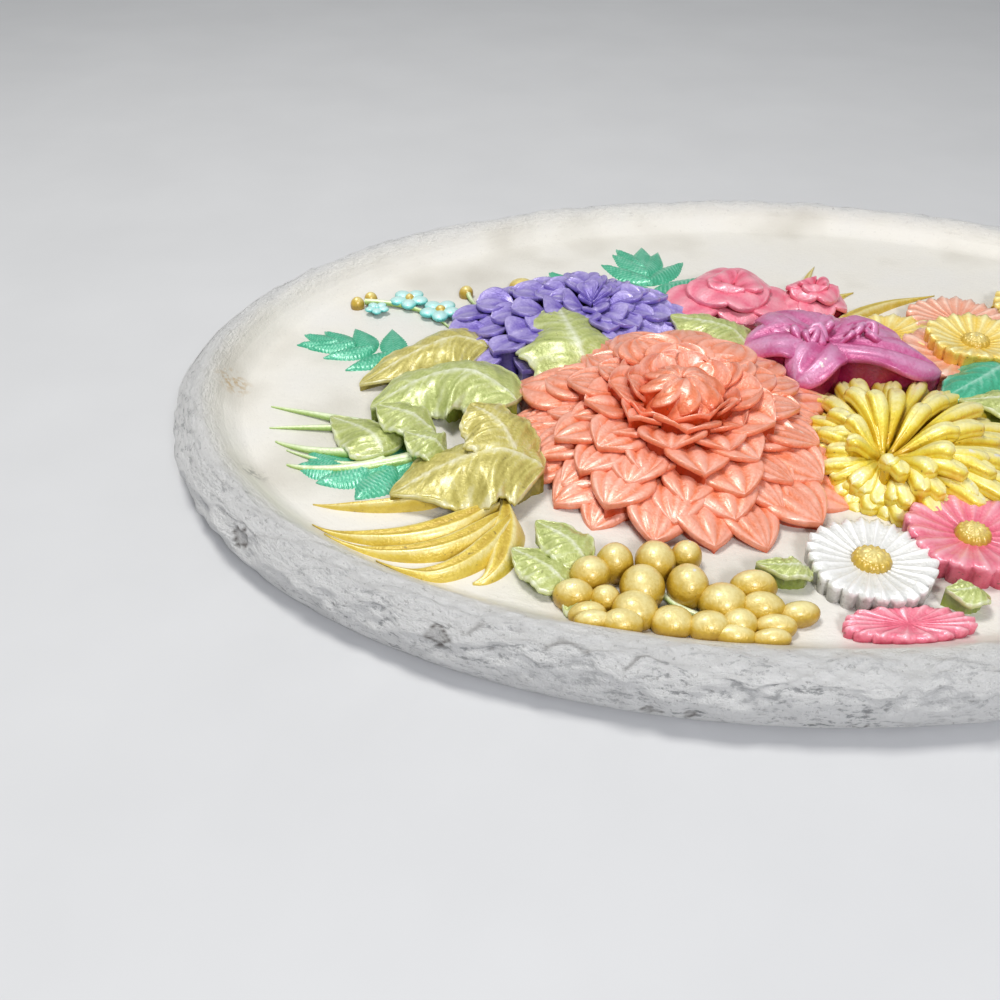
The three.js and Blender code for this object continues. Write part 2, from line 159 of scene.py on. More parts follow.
def lattice_noise(points, grain, seed):
    """Smooth random values from -1 to 1 at points in millimetres, with bumps about one grain wide."""
    cells = 32
    table = np.random.default_rng(seed).uniform(-1, 1, (cells, cells, cells))
    cell = np.floor(points / grain).astype(int)
    share = smooth_step(points / grain - cell)
    total = np.zeros(points.shape[:-1])
    for corner in np.ndindex(2, 2, 2):
        weight = np.prod(np.where(np.array(corner) == 1, share, 1 - share), axis=-1)
        spot = np.moveaxis((cell + corner) % cells, -1, 0)
        total += weight * table[tuple(spot)]
    return total


def edge_radius(angle):
    """Distance from the middle of the oval to its widest line, in one direction."""
    return HALF_WIDTH * HALF_HEIGHT / np.hypot(HALF_HEIGHT * np.cos(angle), HALF_WIDTH * np.sin(angle))


def ground(x, y):
    """Height of the bare dish over its flat back, inside the crest of the rim."""
    dish = bpy.context.scene.plaque_dish
    rim, field = dish.rim_height / MM, dish.field_thickness / MM
    inset = edge_radius(np.arctan2(y, x)) - np.hypot(x, y)
    down = np.clip((inset - RIM_BAND) / SLOPE_RUN, 0, 1)
    return field + (rim - field) * (1 + np.cos(np.pi * down)) / 2


def rounded_outline(widest, fullness):
    """Share of the full width along a form that is widest at one place and closes at both ends."""
    power = math.log(0.5) / math.log(widest)
    return lambda u: np.sin(np.pi * np.clip(u, 0, 1) ** power) ** fullness


# Loops under the edge of a form: drop as a share of its wall, shift out in millimetres, shift in as a share of
# its tuck, and how light it is painted, a painted shade that darkens down the wall. The last one lies at the root.
EDGE_LOOPS = [
    (0.3, 0.16, 0.0, 0.55), (0.75, 0.1, 0.0, 0.3), (1.0, 0.0, 0.15, 0.12), (1.25, 0.0, 0.85, 0.0),
    (math.inf, 0.0, 1.0, 0.0),
]
LEAST_REACH = 0.6
TUCK_LIMIT = 0.7


class Moulding:
    """Closed forms gathered into one mesh, with how light every corner is painted as painted highlight and shade."""

    def __init__(self):
        self.corners, self.faces, self.ridge, self.count = [], [], [], 0

    def add(self, corners, quads, triangles, ridge):
        """Adds one closed form, whose faces look outwards."""
        self.corners.append(corners)
        for faces in (quads, triangles):
            self.faces.extend((faces + self.count).tolist())
        self.ridge.append(ridge)
        self.count += len(corners)

    def stack(self, rings, first, last, ridge, falling=False):
        """Adds the solid through rings of points, rising or falling, with a first and a last point as its ends."""
        count, around = rings.shape[:2]
        index = np.arange(count * around).reshape(count, around)
        after = np.roll(index, -1, 1)
        quads = np.stack([index[:-1], after[:-1], after[1:], index[1:]], -1).reshape(-1, 4)
        caps = [np.stack([after[0], index[0], np.full(around, index.size)], -1)]
        caps.append(np.stack([index[-1], after[-1], np.full(around, index.size + 1)], -1))
        triangles = np.concatenate(caps)
        if falling:
            quads, triangles = quads[:, [0, 3, 2, 1]], triangles[:, ::-1]
        self.add(np.concatenate([rings.reshape(-1, 3), [first, last]]), quads, triangles, ridge)

    def form(self, line, width, outline, lift, shade, seed, size, wall, tuck, ripple=0.0, roll=0.0):
        """Adds a petal, leaf or blade along a line, with this many points along and across it. Lift gives its
        height over the dish at u and v, where u runs from root to tip and v from -1 to 1 across it, and shade
        how light it is painted, as painted highlight and shade. Its edge is a wall high, and its root is set back
        under it by the tuck."""
        chance = np.random.default_rng(seed)
        rows, columns = size
        u = np.linspace(0, 1, rows) ** 0.9
        v = np.sin(np.linspace(-0.5, 0.5, columns) * math.pi)
        spine, run = bend_of(line, u)
        half = np.maximum(outline(u), 0.02) * width / 2
        phase = chance.uniform(0, 6.28, 2)
        across, along = v[None, :], u[:, None]
        reach = half[:, None] * across * (1 + ripple * np.sin(9 * along + 3 * np.sign(across) + phase[0]))
        x = spine[:, None, 0] - run[:, None, 1] * reach
        y = spine[:, None, 1] + run[:, None, 0] * reach
        rise = lift(along, across) + chance.uniform(-roll, roll) * reach
        middle = rise.mean(axis=1, keepdims=True)
        rise = middle + (rise - middle) * smooth_step(2.2 * outline(u))[:, None]
        z = ground(x, y) + rise + 0.15 * np.sin(4 * along + phase[1]) * across
        root = ground(*spine[rows // 2]) - ROOT_DEPTH

        index = np.arange(rows * columns).reshape(rows, columns)
        edge = np.concatenate([index[:, 0], index[-1, 1:], index[-2::-1, -1], index[0, -2:0:-1]])
        top = np.stack([x, y, z], -1).reshape(-1, 3)
        rim = top[edge]
        nearest = np.argmin(np.linalg.norm(rim[:, None, :2] - spine[None], axis=2), axis=1)
        outward = rim[:, :2] - spine[nearest]
        reach = np.linalg.norm(outward, axis=1, keepdims=True)
        outward /= np.maximum(reach, LEAST_REACH)
        quads = [np.stack([index[:-1, :-1], index[1:, :-1], index[1:, 1:], index[:-1, 1:]], -1).reshape(-1, 4)]
        corners, ridge, upper, total = [top], [(shade(along, across) + 0 * x).ravel()], edge, len(top)
        for drop, out, back, shine in EDGE_LOOPS:
            shift = np.maximum(out - back * tuck, -TUCK_LIMIT * reach)
            height = np.maximum(rim[:, 2] - drop * wall, root)
            corners.append(np.column_stack([rim[:, :2] + outward * shift, height]))
            ridge.append(np.full(len(rim), shine))
            lower = np.arange(total, total + len(rim))
            quads.append(np.stack([lower, np.roll(lower, -1), np.roll(upper, -1), upper], -1))
            upper, total = lower, total + len(rim)
        corners.append([[*rim[:, :2].mean(axis=0), root]])
        triangles = np.stack([np.full(len(rim), total), upper, np.roll(upper, -1)], -1)
        self.add(np.concatenate(corners), np.concatenate(quads), triangles, np.concatenate([*ridge, [0.0]]))

    def piece(self, name, paint, slot):
        """Makes the gathered forms one smooth mesh that rides on the casting's body."""
        return make_piece(name, np.concatenate(self.corners), self.faces, paint, slot,
                          ridge=np.concatenate(self.ridge))


def to_row(points):
    """Turns the face drawing in millimetres into the upright row frame in metres."""
    points = np.asarray(points, float)
    return np.stack([points[..., 0], -points[..., 2], points[..., 1]], -1) * MM


def make_piece(name, corners, faces, material, slot, **values):
    """A piece of the casting from points in the face drawing, with what the paint reads at every corner."""
    corners = corners.copy()
    corners[:, 2] = np.clip(corners[:, 2], 0, FULL_DEPTH - CLEARANCE)
    mesh = bpy.data.meshes.new(name)
    mesh.from_pydata(to_row(corners).tolist(), [], faces)
    for label, amounts in values.items():
        layer = mesh.attributes.new(label, "FLOAT", "POINT")
        layer.data.foreach_set("value", np.asarray(amounts, np.float32))
    return dress(name, mesh, material, slot)


def dress(name, mesh, material, slot):
    """Links a finished mesh as a piece of the casting, smooth shaded."""
    mesh.materials.clear()
    mesh.materials.append(material)
    mesh.polygons.foreach_set("use_smooth", [True] * len(mesh.polygons))
    mesh.update()
    piece = bpy.data.objects.new(name, mesh)
    bpy.context.scene.collection.objects.link(piece)
    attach(piece, "root")
    return piece


def oval_reach(root, oval, angle):
    """Distance from a root point to the edge of an oval (x, y, half x, half y), in one direction."""
    dx, dy = math.cos(angle) / oval[2], math.sin(angle) / oval[3]
    ox, oy = (root[0] - oval[0]) / oval[2], (root[1] - oval[1]) / oval[3]
    a = dx * dx + dy * dy
    b = ox * dx + oy * dy
    c = ox * ox + oy * oy - 1
    return (-b + math.sqrt(b * b - a * c)) / a


def petals_of(root, oval, tiers, shift, seed):
    """The petals of a flower, tier by tier: tier and petal number, line, width, angle and the tier's figures.
    A tier says how much of the oval it covers, how many petals it has and how long they are, and more."""
    root = np.array(root)
    for t, (share, count, length, *figures) in enumerate(tiers):
        chance = np.random.default_rng(seed + t)
        for i in range(count):
            angle = 2 * math.pi * (i + shift * t) / count + chance.uniform(-0.6, 0.6) / count
            reach = share * oval_reach(root, oval, angle) * chance.uniform(0.95, 1.06)
            start = max(reach - length, 0.1 * reach)
            width = 2 * math.pi * (0.35 * start + 0.65 * reach) / count
            way = way_at(angle)
            side = left_of(way) * chance.uniform(-0.05, 0.05) * length
            line = [root + way * start, root + way * (start + reach) / 2 + side, root + way * reach]
            yield t, i, line, width, angle, (share, *figures)


# Paints and plaster


def add(tree, kind, inputs=(), output=0, **props):
    """Adds a node with these properties and gives one of its outputs. An input is a fixed value, an output to
    link, or a list of outputs."""
    made = tree.nodes.new(kind)
    for key, value in props.items():
        setattr(made, key, value)
    for key, value in dict(inputs).items():
        if isinstance(value, (list, bpy.types.NodeSocket)):
            for source in value if isinstance(value, list) else [value]:
                tree.links.new(source, made.inputs[key])
        else:
            made.inputs[key].default_value = value
    return made.outputs[output] if made.outputs else None


def new_material(name):
    material = bpy.data.materials.new(name)
    material.use_nodes = True
    material.node_tree.nodes.clear()
    return material, material.node_tree


def read(tree, label):
    """What a mesh says under this label at every corner."""
    return add(tree, "ShaderNodeAttribute", output="Fac", attribute_name=label)


def ramp(tree, fac, *stops):
    made = add(tree, "ShaderNodeValToRGB", {"Fac": fac})
    bar = made.node.color_ramp
    while len(bar.elements) < len(stops):
        bar.elements.new(0.5)
    for element, (position, tone) in zip(bar.elements, stops):
        element.position, element.color = position, tone
    return made


def per_metre(size_mm):
    """Scale of a noise whose bumps are about this many millimetres wide."""
    return 1 / (size_mm * MM)


def grains(tree, size_mm, detail=3.0, rough=0.55, place=None):
    """A noise with bumps of a real size, in object space unless it is given a place."""
    place = place or add(tree, "ShaderNodeTexCoord", output="Object")
    inputs = {"Scale": per_metre(size_mm), "Detail": detail, "Roughness": rough, "Vector": place}
    return add(tree, "ShaderNodeTexNoise", inputs)


def spread(tree, value, low, high, to_low=0.0, to_high=1.0):
    inputs = {"Value": value, "From Min": low, "From Max": high, "To Min": to_low, "To Max": to_high}
    return add(tree, "ShaderNodeMapRange", inputs)


def blend(tree, fac, first, second):
    """Mixes two colours, each an output or a fixed value. Their sockets share names, so they go by number."""
    return add(tree, "ShaderNodeMix", {0: fac, 6: first, 7: second}, 2, data_type="RGBA")


def plus(tree, first, second):
    return add(tree, "ShaderNodeMath", {0: first, 1: second}, operation="ADD")


def times(tree, first, second):
    return add(tree, "ShaderNodeMath", {0: first, 1: second}, operation="MULTIPLY")


def surface(tree, tone, rough, bump, bump_mm, fixed):
    """The shader and output that every finish ends in."""
    dent = add(tree, "ShaderNodeBump", {"Distance": bump_mm * MM, "Height": bump})
    shader = add(tree, "ShaderNodeBsdfPrincipled", {**fixed, "Base Color": tone, "Roughness": rough, "Normal": dent})
    add(tree, "ShaderNodeOutputMaterial", {"Surface": shader})


# Pearl paints: the deep colour painted in the grooves and down the walls as painted shade, the body, where None is
# read from the settings, the light colour painted on the ridges as painted highlight, and how far the ridges are
# chipped
PAINTS = {
    "coral": ("#C4440F", None, "#FBC2B0", 0.8),
    "yellow": ("#D4A808", None, "#FCF6BC", 1.0),
    "violet": ("#46368A", "#7A67BE", "#C6BBEA", 1.0),
    "rose": ("#B8303F", "#EE7690", "#F9B3BF", 0.5),
    "magenta": ("#A81F50", "#C75790", "#E0A6CC", 0.5),
    "leaf_green": ("#85962E", "#C1CA80", "#F0F4DC", 0.5),
    "olive_gold": ("#8C7E26", "#CDC26C", "#F4F1D2", 0.5),
    "teal": ("#1B8A60", "#4BB892", "#B5E8D3", 0.5),
    "straw_gold": ("#B8962A", "#DDC44E", "#F7EFBC", 0.5),
    "white": ("#97968F", "#E4E4E0", "#FBFBFA", 0.5),
    "pink": ("#C2304E", "#EA6F88", "#F7AFBB", 0.5),
    "peach": ("#D9622F", "#F0A080", "#FAD0BC", 0.5),
    "sun": ("#CF9420", "#EFCB55", "#FAF0B0", 0.5),
    "gold": ("#8A6A14", "#CDAA38", "#EFE096", 0.5),
    "aqua": ("#2FA7A4", "#7FDBD5", "#D0F5F2", 0.5),
    "berry": ("#A57F14", "#CDAB38", "#F3E6A6", 0.5),
    "stem_green": ("#8FB04C", "#BFD98C", "#EEF6D6", 0.5),
}


# Grain in millimetres of what shows in the pearl paint, and the colours under it
FLAKE, PORE, BRUSH_MARK, CHIP, CLOUD = 0.9, 1.3, 2.4, 4.2, 5.0
PORE_DIRT, BARE_PLASTER = "#5B4A33", "#E9E6DF"
PEARL_BUMP, PLASTER_BUMP = 0.22, 0.8


def pearl_paint(name):
    """Acrylic pearl paint brushed on plaster. A deep colour is painted in the grooves and down the walls as painted
    shade, a pale painted highlight on the ridges and on what faces out, and the plaster shows white where a ridge is
    chipped."""
    label = f"{name}_pearl_paint"
    if label in bpy.data.materials:
        return bpy.data.materials[label]
    deep, body, light, chips = PAINTS[name]
    body = linear(body) if body else (*getattr(bpy.context.scene.plaque_paint, name), 1.0)
    material, tree = new_material(label)
    ridge, flake = read(tree, "ridge"), grains(tree, FLAKE, detail=2.0)
    # The ridge value sets painted shade where it is low and painted highlight where it is high
    lit = plus(tree, ridge, spread(tree, grains(tree, CLOUD), 0.3, 0.7, -0.13, 0.13))
    lit = plus(tree, lit, spread(tree, flake, 0.35, 0.65, -0.05, 0.05))
    tone = ramp(tree, lit, (0.0, linear(deep)), (0.45, body), (1.0, linear(light)))
    pores = spread(tree, grains(tree, PORE, detail=1.0), 0.26, 0.31, 0.55, 0.0)
    tone = blend(tree, times(tree, pores, spread(tree, ridge, 0.25, 0.6, 1.0, 0.0)), tone, linear(PORE_DIRT))
    bare = 0.06 * chips
    worn = spread(tree, grains(tree, CHIP), 0.73 - bare, 0.75 - bare)
    tone = blend(tree, times(tree, worn, spread(tree, ridge, 0.72, 0.85)), tone, linear(BARE_PLASTER))
    bump = plus(tree, flake, grains(tree, BRUSH_MARK, detail=4.0))
    surface(tree, tone, spread(tree, flake, 0.3, 0.7, 0.34, 0.48), bump, PEARL_BUMP,
            {"Metallic": 0.14, "IOR": 1.55, "Coat Weight": 0.55, "Coat Roughness": 0.2})
    return material


def stain(tree, place, size_mm):
    """Faint broken mark round one place, from 0 to 1."""
    here = add(tree, "ShaderNodeTexCoord", output="Object")
    away = add(tree, "ShaderNodeVectorMath", {0: here, 1: place}, "Value", operation="DISTANCE")
    near = spread(tree, away, size_mm * MM, 0.3 * size_mm * MM, 0.0, 0.8)
    return times(tree, near, spread(tree, grains(tree, 2.2, detail=4.0), 0.47, 0.6))


# Grain in millimetres of what shows in the plaster
GRIT, STREAK, SPECK, LUMP, GRIME_AND_SHADE_PATCH, TONE_PATCH = 1.1, 1.4, 1.5, 2.8, 30.0, 38.0
# Two stains in the field: place and size
GREY_STAIN = (0.050, -0.013, -0.168), 6.0
BROWN_STAIN = (-0.003, -0.014, -0.182), 8.0


def painted_plaster(name, body):
    """Poured plaster brushed with thin off-white pearl paint. The rim was left rough. Grey is painted in the low
    streaks and hollows of its relief, most on its outer side, and dark in its pits and along its torn lip: painted
    shade, with dirt."""
    material, tree = new_material(name)
    rim = read(tree, "ridge")
    cloud = spread(tree, grains(tree, TONE_PATCH, detail=2.0), 0.3, 0.7)
    tone = ramp(tree, cloud, (0.0, linear("#D3CFC5")), (0.5, (*body, 1.0)), (1.0, linear("#E6E4DF")))
    round_rim = {"X": read(tree, "girth"), "Y": read(tree, "turn_x"), "Z": read(tree, "turn_y")}
    brushed = grains(tree, STREAK, 7.0, 0.72, add(tree, "ShaderNodeCombineXYZ", round_rim))
    # Grey painted shade in the low streaks and hollows of the rim's relief, most on its outer side, in patches like
    # dirt
    streak = plus(tree, times(tree, read(tree, "hollow"), 0.3), spread(tree, brushed, 0.3, 0.56, 0.8, 0.0))
    grime_and_shade = times(tree, spread(tree, streak, 0.45, 0.72, 0.0, 0.75), spread(tree, rim, 0.66, 1.0, 0.05, 1.0))
    grime_and_shade = times(tree, grime_and_shade, spread(tree, grains(tree, GRIME_AND_SHADE_PATCH), 0.38, 0.6, 0.4, 1.0))
    speck = times(tree, spread(tree, grains(tree, SPECK), 0.64, 0.68), spread(tree, rim, 0.3, 0.8, 0.1, 0.35))
    for share, code in (
        (spread(tree, rim, 0.3, 0.8), "#F7F7F6"),
        (grime_and_shade, "#74767A"),
        (stain(tree, *GREY_STAIN), "#8C8A86"),
        (stain(tree, *BROWN_STAIN), "#B79A68"),
        (speck, "#7E7A75"),
        # Dark in the rim's pits and along its torn lip: dirt with painted shade
        (read(tree, "pits"), "#4F443C"),
    ):
        tone = blend(tree, share, tone, linear(code))
    height = plus(tree, times(tree, grains(tree, LUMP, 6.0, 0.68), 1.2), grains(tree, GRIT, 5.0, 0.65))
    height = plus(tree, times(tree, brushed, 2.6), height)
    surface(tree, tone, spread(tree, rim, 0.2, 0.9, 0.36, 0.42),
            times(tree, height, spread(tree, rim, 0.2, 0.85, 0.12, 1.3)), PLASTER_BUMP,
            {"Metallic": 0.0, "IOR": 1.5, "Coat Weight": 0.15, "Coat Roughness": 0.35})
    return material


# Pieces


# The streaks of the rim lie on a ring of this radius, so that they run on round it without a seam
STREAK_TURN = 56.0
# How far in from its edge the flat back is divided, and from the widest line the field
BACK_STEPS = (120, 90, 60, 35, 18, 8, 3)
FIELD_STEPS = (28, 33, 39, 46, 54, 63, 73, 84, 96, 110, 125, 140)
DISH_COLUMNS = 1000
FIELD_START = 30
# Chips of the rim that show in front: place, size and depth
CHIPS = [
    (80.0, -168.0, 12.5, 3.2, 1.5), (123.0, -112.0, 14.0, 3.4, 1.4), (142.0, -61.0, 5.5, 1.7, 1.4),
    (143.0, -58.0, 5.0, 1.1, 1.3), (144.0, -51.0, 5.5, 1.5, 1.2),
]
SMALL_PITS = 60
# Where the crest of the rim is torn, from one height to another as it hangs, and how high its lip is there
TORN_FROM, TORN_TO, LIP = -108, -56, 17.0


def dish_section(rim, field):
    """Section of the dish from the middle of the back, round the rim, to the middle of the field: how far in
    from the widest line, how high, and how rough."""
    quarter = np.pi / 2
    for step in BACK_STEPS:
        yield BACK_INSET + step, 0.0, 0.0
    for turn in np.linspace(0, 1, 17)[:-1]:
        yield BACK_INSET * (1 - math.sin(turn * quarter)), RIM_BELLY * (1 - math.cos(turn * quarter)), 1.0
    for turn in np.linspace(0, 1, 34):
        height = RIM_BELLY + (rim - RIM_BELLY) * math.sin(turn * quarter)
        yield RIM_BAND * (1 - math.cos(turn * quarter)), height, 1.0 - 0.35 * turn**3
    for down in np.linspace(0, 1, 15)[1:]:
        height = field + (rim - field) * (1 + math.cos(math.pi * down)) / 2
        yield RIM_BAND + SLOPE_RUN * down, height, 0.6 * (1 - down) ** 1.5
    for step in FIELD_STEPS:
        yield float(step), field, 0.0


def make_dish():
    """The oval dish: rings of points from the middle of the back, round the rim, to the middle of the field."""
    dish = bpy.context.scene.plaque_dish
    rim, field = dish.rim_height / MM, dish.field_thickness / MM
    section = np.array(list(dish_section(rim, field)))
    run, level, mask = section.T[..., None]
    angle = np.linspace(0, 2 * np.pi, DISH_COLUMNS, endpoint=False)
    radius = edge_radius(angle)
    reach = radius - run * np.where(run > FIELD_START, radius / HALF_WIDTH, 1.0)
    even = 0 * reach
    x, y, z = reach * np.cos(angle), reach * np.sin(angle), level + even
    points = np.stack([x, y, z], -1)
    girth = np.concatenate([[0], np.cumsum(np.hypot(*np.diff(section[:, :2], axis=0).T))])[:, None] + even
    sunk, pits, hollow = rim_damage(points, girth, angle, run, dish.rim_roughness / MM)
    sunk = sunk * mask
    rise, inward = np.gradient(level, axis=0), np.gradient(-run, axis=0)
    slope = np.hypot(rise, inward) + 1e-9
    x = x - rise / slope * sunk * np.cos(angle)
    y = y - rise / slope * sunk * np.sin(angle)
    z = z + -inward / slope * sunk
    z = z + ((run > RIM_BAND) & (level > 1)) * 0.18 * lattice_noise(points, 16.0, 5)
    z = np.where(level > 0.01, np.maximum(z, 0.05), 0.0)
    turn = STREAK_TURN * MM
    values = {
        "ridge": mask + even, "pits": pits * mask, "hollow": hollow * mask, "girth": girth * MM,
        "turn_x": turn * np.cos(angle) + even, "turn_y": turn * np.sin(angle) + even,
    }
    values = {label: np.concatenate([amounts.ravel(), [0, 0]]) for label, amounts in values.items()}
    moulding = Moulding()
    moulding.stack(np.stack([x, y, z], -1), (0, 0, 0), (0, 0, field), values["ridge"])
    paint = painted_plaster("pearl_painted_plaster", bpy.context.scene.plaque_paint.plaster)
    piece = make_piece("dish", moulding.corners[0], moulding.faces, paint, "plaster_white", **values)
    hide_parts("plaque")


def rim_damage(points, girth, angle, run, roughness):
    """How far the rim is sunk by its lumps, its torn lip and its pits, how dark it is painted in its pits and along
    its torn lip, as dirt and painted shade, and how hollow it is."""
    x, y, z = np.moveaxis(points, -1, 0)
    broad, fine = rim_ripples(points, girth, angle, 96, 3.6, 8), rim_ripples(points, girth, angle, 224, 1.7, 9)
    plates = 1 - 2 * np.abs(lattice_noise(points, 7.0, 1))
    lumps = 0.3 * lattice_noise(points, 22.0, 6) + 0.3 * plates + 0.5 * broad + 0.5 * fine
    sunk = roughness * np.clip(0.45 - 0.6 * lumps, 0.0, 1.2)
    torn = smooth_step((y - TORN_FROM) / 6) * smooth_step((TORN_TO - y) / 6) * (x > 0) * (run < RIM_BAND)
    lip = LIP + 1.6 * np.abs(np.sin(y * math.pi / 9.5)) + 0.5 * lattice_noise(points, 5.0, 12)
    sunk = sunk + 0.7 * torn * smooth_step((lip - z) / 0.7)
    # A dark line along the step of the torn lip: painted shade under it
    pits = 0.5 * torn * bell(lip - z, 0, 0.4) * (lattice_noise(points, 9.0, 13) > -0.35)
    crumbs = 1 + 0.35 * lattice_noise(points, 1.6, 4)
    for px, py, pz, size, depth in rim_pits():
        away = np.linalg.norm((points - (px, py, pz)) * (1, 1, 1.2), axis=-1) * crumbs
        dent = bell(away, 0, size)
        sunk = sunk + depth * dent
        pits = np.maximum(pits, 0.8 * bell(dent, 0.5, 0.1) + 0.3 * smooth_step(dent * 3 - 1))
    return sunk, pits, np.clip(0.5 - 0.5 * (broad + 0.8 * fine), 0, 1)


def rim_ripples(points, girth, angle, cells, grain, seed):
    """Noise from -1 to 1 drawn out along the rim, with this many cells round it, so that it closes on itself."""
    sway = 1.5 * lattice_noise(points, 12.0, seed + 20)
    along = np.broadcast_to(angle / (2 * np.pi) * cells * grain, girth.shape)
    return lattice_noise(np.stack([girth + sway, along, 0 * girth], -1), grain, seed)


def rim_pits():
    """Dents and chips of the rim: place, size and depth, first those that show, then smaller ones all round."""
    yield from CHIPS
    chance = np.random.default_rng(11)
    for _ in range(SMALL_PITS):
        angle = chance.uniform(0, 2 * math.pi)
        radius = edge_radius(angle) - chance.uniform(0.2, 4)
        height = RIM_BELLY + chance.uniform(-7, 6)
        yield radius * math.cos(angle), radius * math.sin(angle), height, chance.uniform(0.5, 1.3), 0.7


def petal_folds(v, veins):
    return np.abs(np.cos(veins * math.pi * v / 2)) ** 0.75


def petal_lift(low, high, cup, arch, veins, depth):
    """Height of a petal with a raised margin and deep grooves that fan out along it."""

    def lift(u, v):
        margin = 0.45 * bell(np.abs(v), 0.92, 0.09) * smooth_step(u * 4)
        grooves = depth * (petal_folds(v, veins) - 0.5) * smooth_step((1.03 - u) * 4) * (1 - v**4)
        body = low + (high - low) * u + arch * np.sin(math.pi * u) + cup * np.abs(v) ** 1.8
        return body + margin + grooves - 0.6 * arch * u**5

    return lift


def petal_shade(veins):
    """Painted highlight of a petal on its margin, its tip and between the grooves, and painted shade in the grooves.
    """

    def shade(u, v):
        margin = 0.3 * bell(np.abs(v), 0.92, 0.13)
        folds = 0.4 * petal_folds(v, veins) * (1 - v**4)
        return 0.12 + 0.3 * smooth_step(u * 1.2) + margin * smooth_step(u * 3) + folds

    return shade


BUD_SCALES = 9
# Tiers of the flowers, as petals_of reads them. Then follow the heights of foot and tip as shares of the whole,
# and for dahlias the cup of the petal.
LARGE_DAHLIA = [
    (1.0, 21, 25, 0.22, 0.17, -0.04), (0.9, 18, 24, 0.33, 0.33, -0.03), (0.78, 16, 22, 0.42, 0.48, -0.01),
    (0.66, 13, 20, 0.48, 0.61, 0.02), (0.54, 10, 17, 0.5, 0.72, 0.06), (0.42, 8, 14, 0.44, 0.8, 0.1),
    (0.32, 6, 10, 0.38, 0.82, 0.12),
]
SMALL_DAHLIA = [
    (1.0, 14, 16, 0.42, 0.26, -0.04), (0.8, 12, 14, 0.56, 0.48, -0.01), (0.6, 9, 12, 0.6, 0.68, 0.05),
    (0.4, 6, 8, 0.5, 0.8, 0.1),
]
CHRYSANTHEMUM = [
    (1.0, 29, 46, 0.34, 0.24), (0.9, 25, 42, 0.42, 0.44), (0.77, 20, 36, 0.48, 0.64),
    (0.62, 14, 30, 0.5, 0.82), (0.45, 9, 22, 0.46, 0.96), (0.28, 5, 12, 0.42, 0.96),
]
VIOLET_BLOOM = [
    (1.0, 18, 16, 0.42, 0.34), (0.86, 16, 15, 0.56, 0.54), (0.71, 13, 14, 0.66, 0.72),
    (0.55, 11, 13, 0.74, 0.86), (0.38, 7, 11, 0.78, 0.96), (0.2, 4, 8, 0.8, 1.0),
]
ROSE = [(1.0, 5, 24, 0.62, 0.5), (0.7, 4, 18, 0.84, 0.84), (0.4, 3, 11, 0.9, 1.06)]
# Centre and half sizes of each rose
ROSES = [((-51, -1), (20, 25)), ((-48, 30), (13, 13)), ((64, 98), (27, 26))]


def bud_dome(moulding, root, radius, height):
    """Closed bud: two layers of pointed scales that lie over a dome in a whorl and meet at its top."""
    root = np.array(root)
    for layer, (foot, tip, turn) in enumerate(((1.0, 0.1, 0.0), (0.8, 0.02, 0.5))):

        def lift(u, v):
            away = foot + (tip - foot) * u
            dome = height * (0.42 + 0.58 * np.sqrt(np.clip(1.02 - away**2, 0, 1)))
            return dome + 0.5 * layer - 1.7 * v**2 - 0.4 * np.cos(4 * math.pi * v) * (1 - v * v) - 0.5

        count = BUD_SCALES - layer
        for i in range(count):
            angle = 2 * math.pi * (i + turn) / count
            way = way_at(angle)
            side = left_of(way)
            line = [root + way * radius * foot, root + way * radius * 0.55 + side * 2.0,
                    root + way * radius * tip + side * 0.6]
            moulding.form(line, radius * 0.95, rounded_outline(0.34, 0.85), lift, petal_shade(2),
                          900 + 17 * i + layer, (18, 17), wall=1.0, tuck=0.2)


def make_dahlia(name, root, radius, height, bud, tiers, lean):
    """Tiers of long pointed petals that overlap like shingles round a closed bud, and lean on what is left of it."""
    blooms = bpy.context.scene.plaque_blooms
    moulding = Moulding()
    oval = (*root, radius, radius)
    for t, i, line, width, angle, (share, low, high, cup) in petals_of(root, oval, tiers, 0.37, 100):
        step = 0.07 * (i % 2) + 0.03 * math.sin(5 * i + t) - lean * share * max(0.0, -math.cos(angle))
        veins = 5 if i % 3 else 3
        lift = petal_lift(height * (low - step), height * (high - step), height * cup, 0.07 * height, veins,
                          blooms.vein_depth / MM)
        moulding.form(line, width * (1.34 - 0.2 * (i % 2)), rounded_outline(0.55, 0.8), lift, petal_shade(veins),
                      31 * t + i, (20, 21), wall=blooms.petal_wall / MM, tuck=3.0, roll=0.16)
    bud_dome(moulding, root, bud, height)
    moulding.piece(name, pearl_paint("coral"), "paint_coral")


def make_chrysanthemum():
    """Finger-like quills that fan out from one root, each rounded and spooned at its end."""
    width = bpy.context.scene.plaque_blooms.quill_width / MM
    moulding = Moulding()
    height = 21.0
    for t, i, line, _, _, (_, low, high) in petals_of((60, 21), (44, 36, 41, 37), CHRYSANTHEMUM, 0.37, 300):
        foot, tip = height * low, height * (high - 0.06 * (i % 3))
        reach = math.dist(line[0], line[2])
        if reach < 10 + 2.5 * (t % 3):
            continue

        def lift(u, v):
            barrel = 0.36 * width * (np.sqrt(np.clip(1 - v * v, 0, 1)) - 1)
            groove = -0.45 * bell(v, 0.25, 0.13) * smooth_step(u * 4)
            spoon = -0.9 * bell(v, 0, 0.42) * smooth_step((u - 0.72) * 6) * smooth_step((1 - u) * 9)
            rise = foot + (tip - foot) * smooth_step(u * 1.05) + 0.09 * reach * np.sin(math.pi * u**0.8)
            return rise + barrel - 1.6 * u**6 + (spoon if i % 2 else 0.6 * groove) + groove

        moulding.form(line, width, quill_outline, lift, quill_shade, 500 + 41 * t + i, (20, 13), wall=2.2, tuck=1.3)
    moulding.piece("chrysanthemum", pearl_paint("yellow"), "paint_yellow")


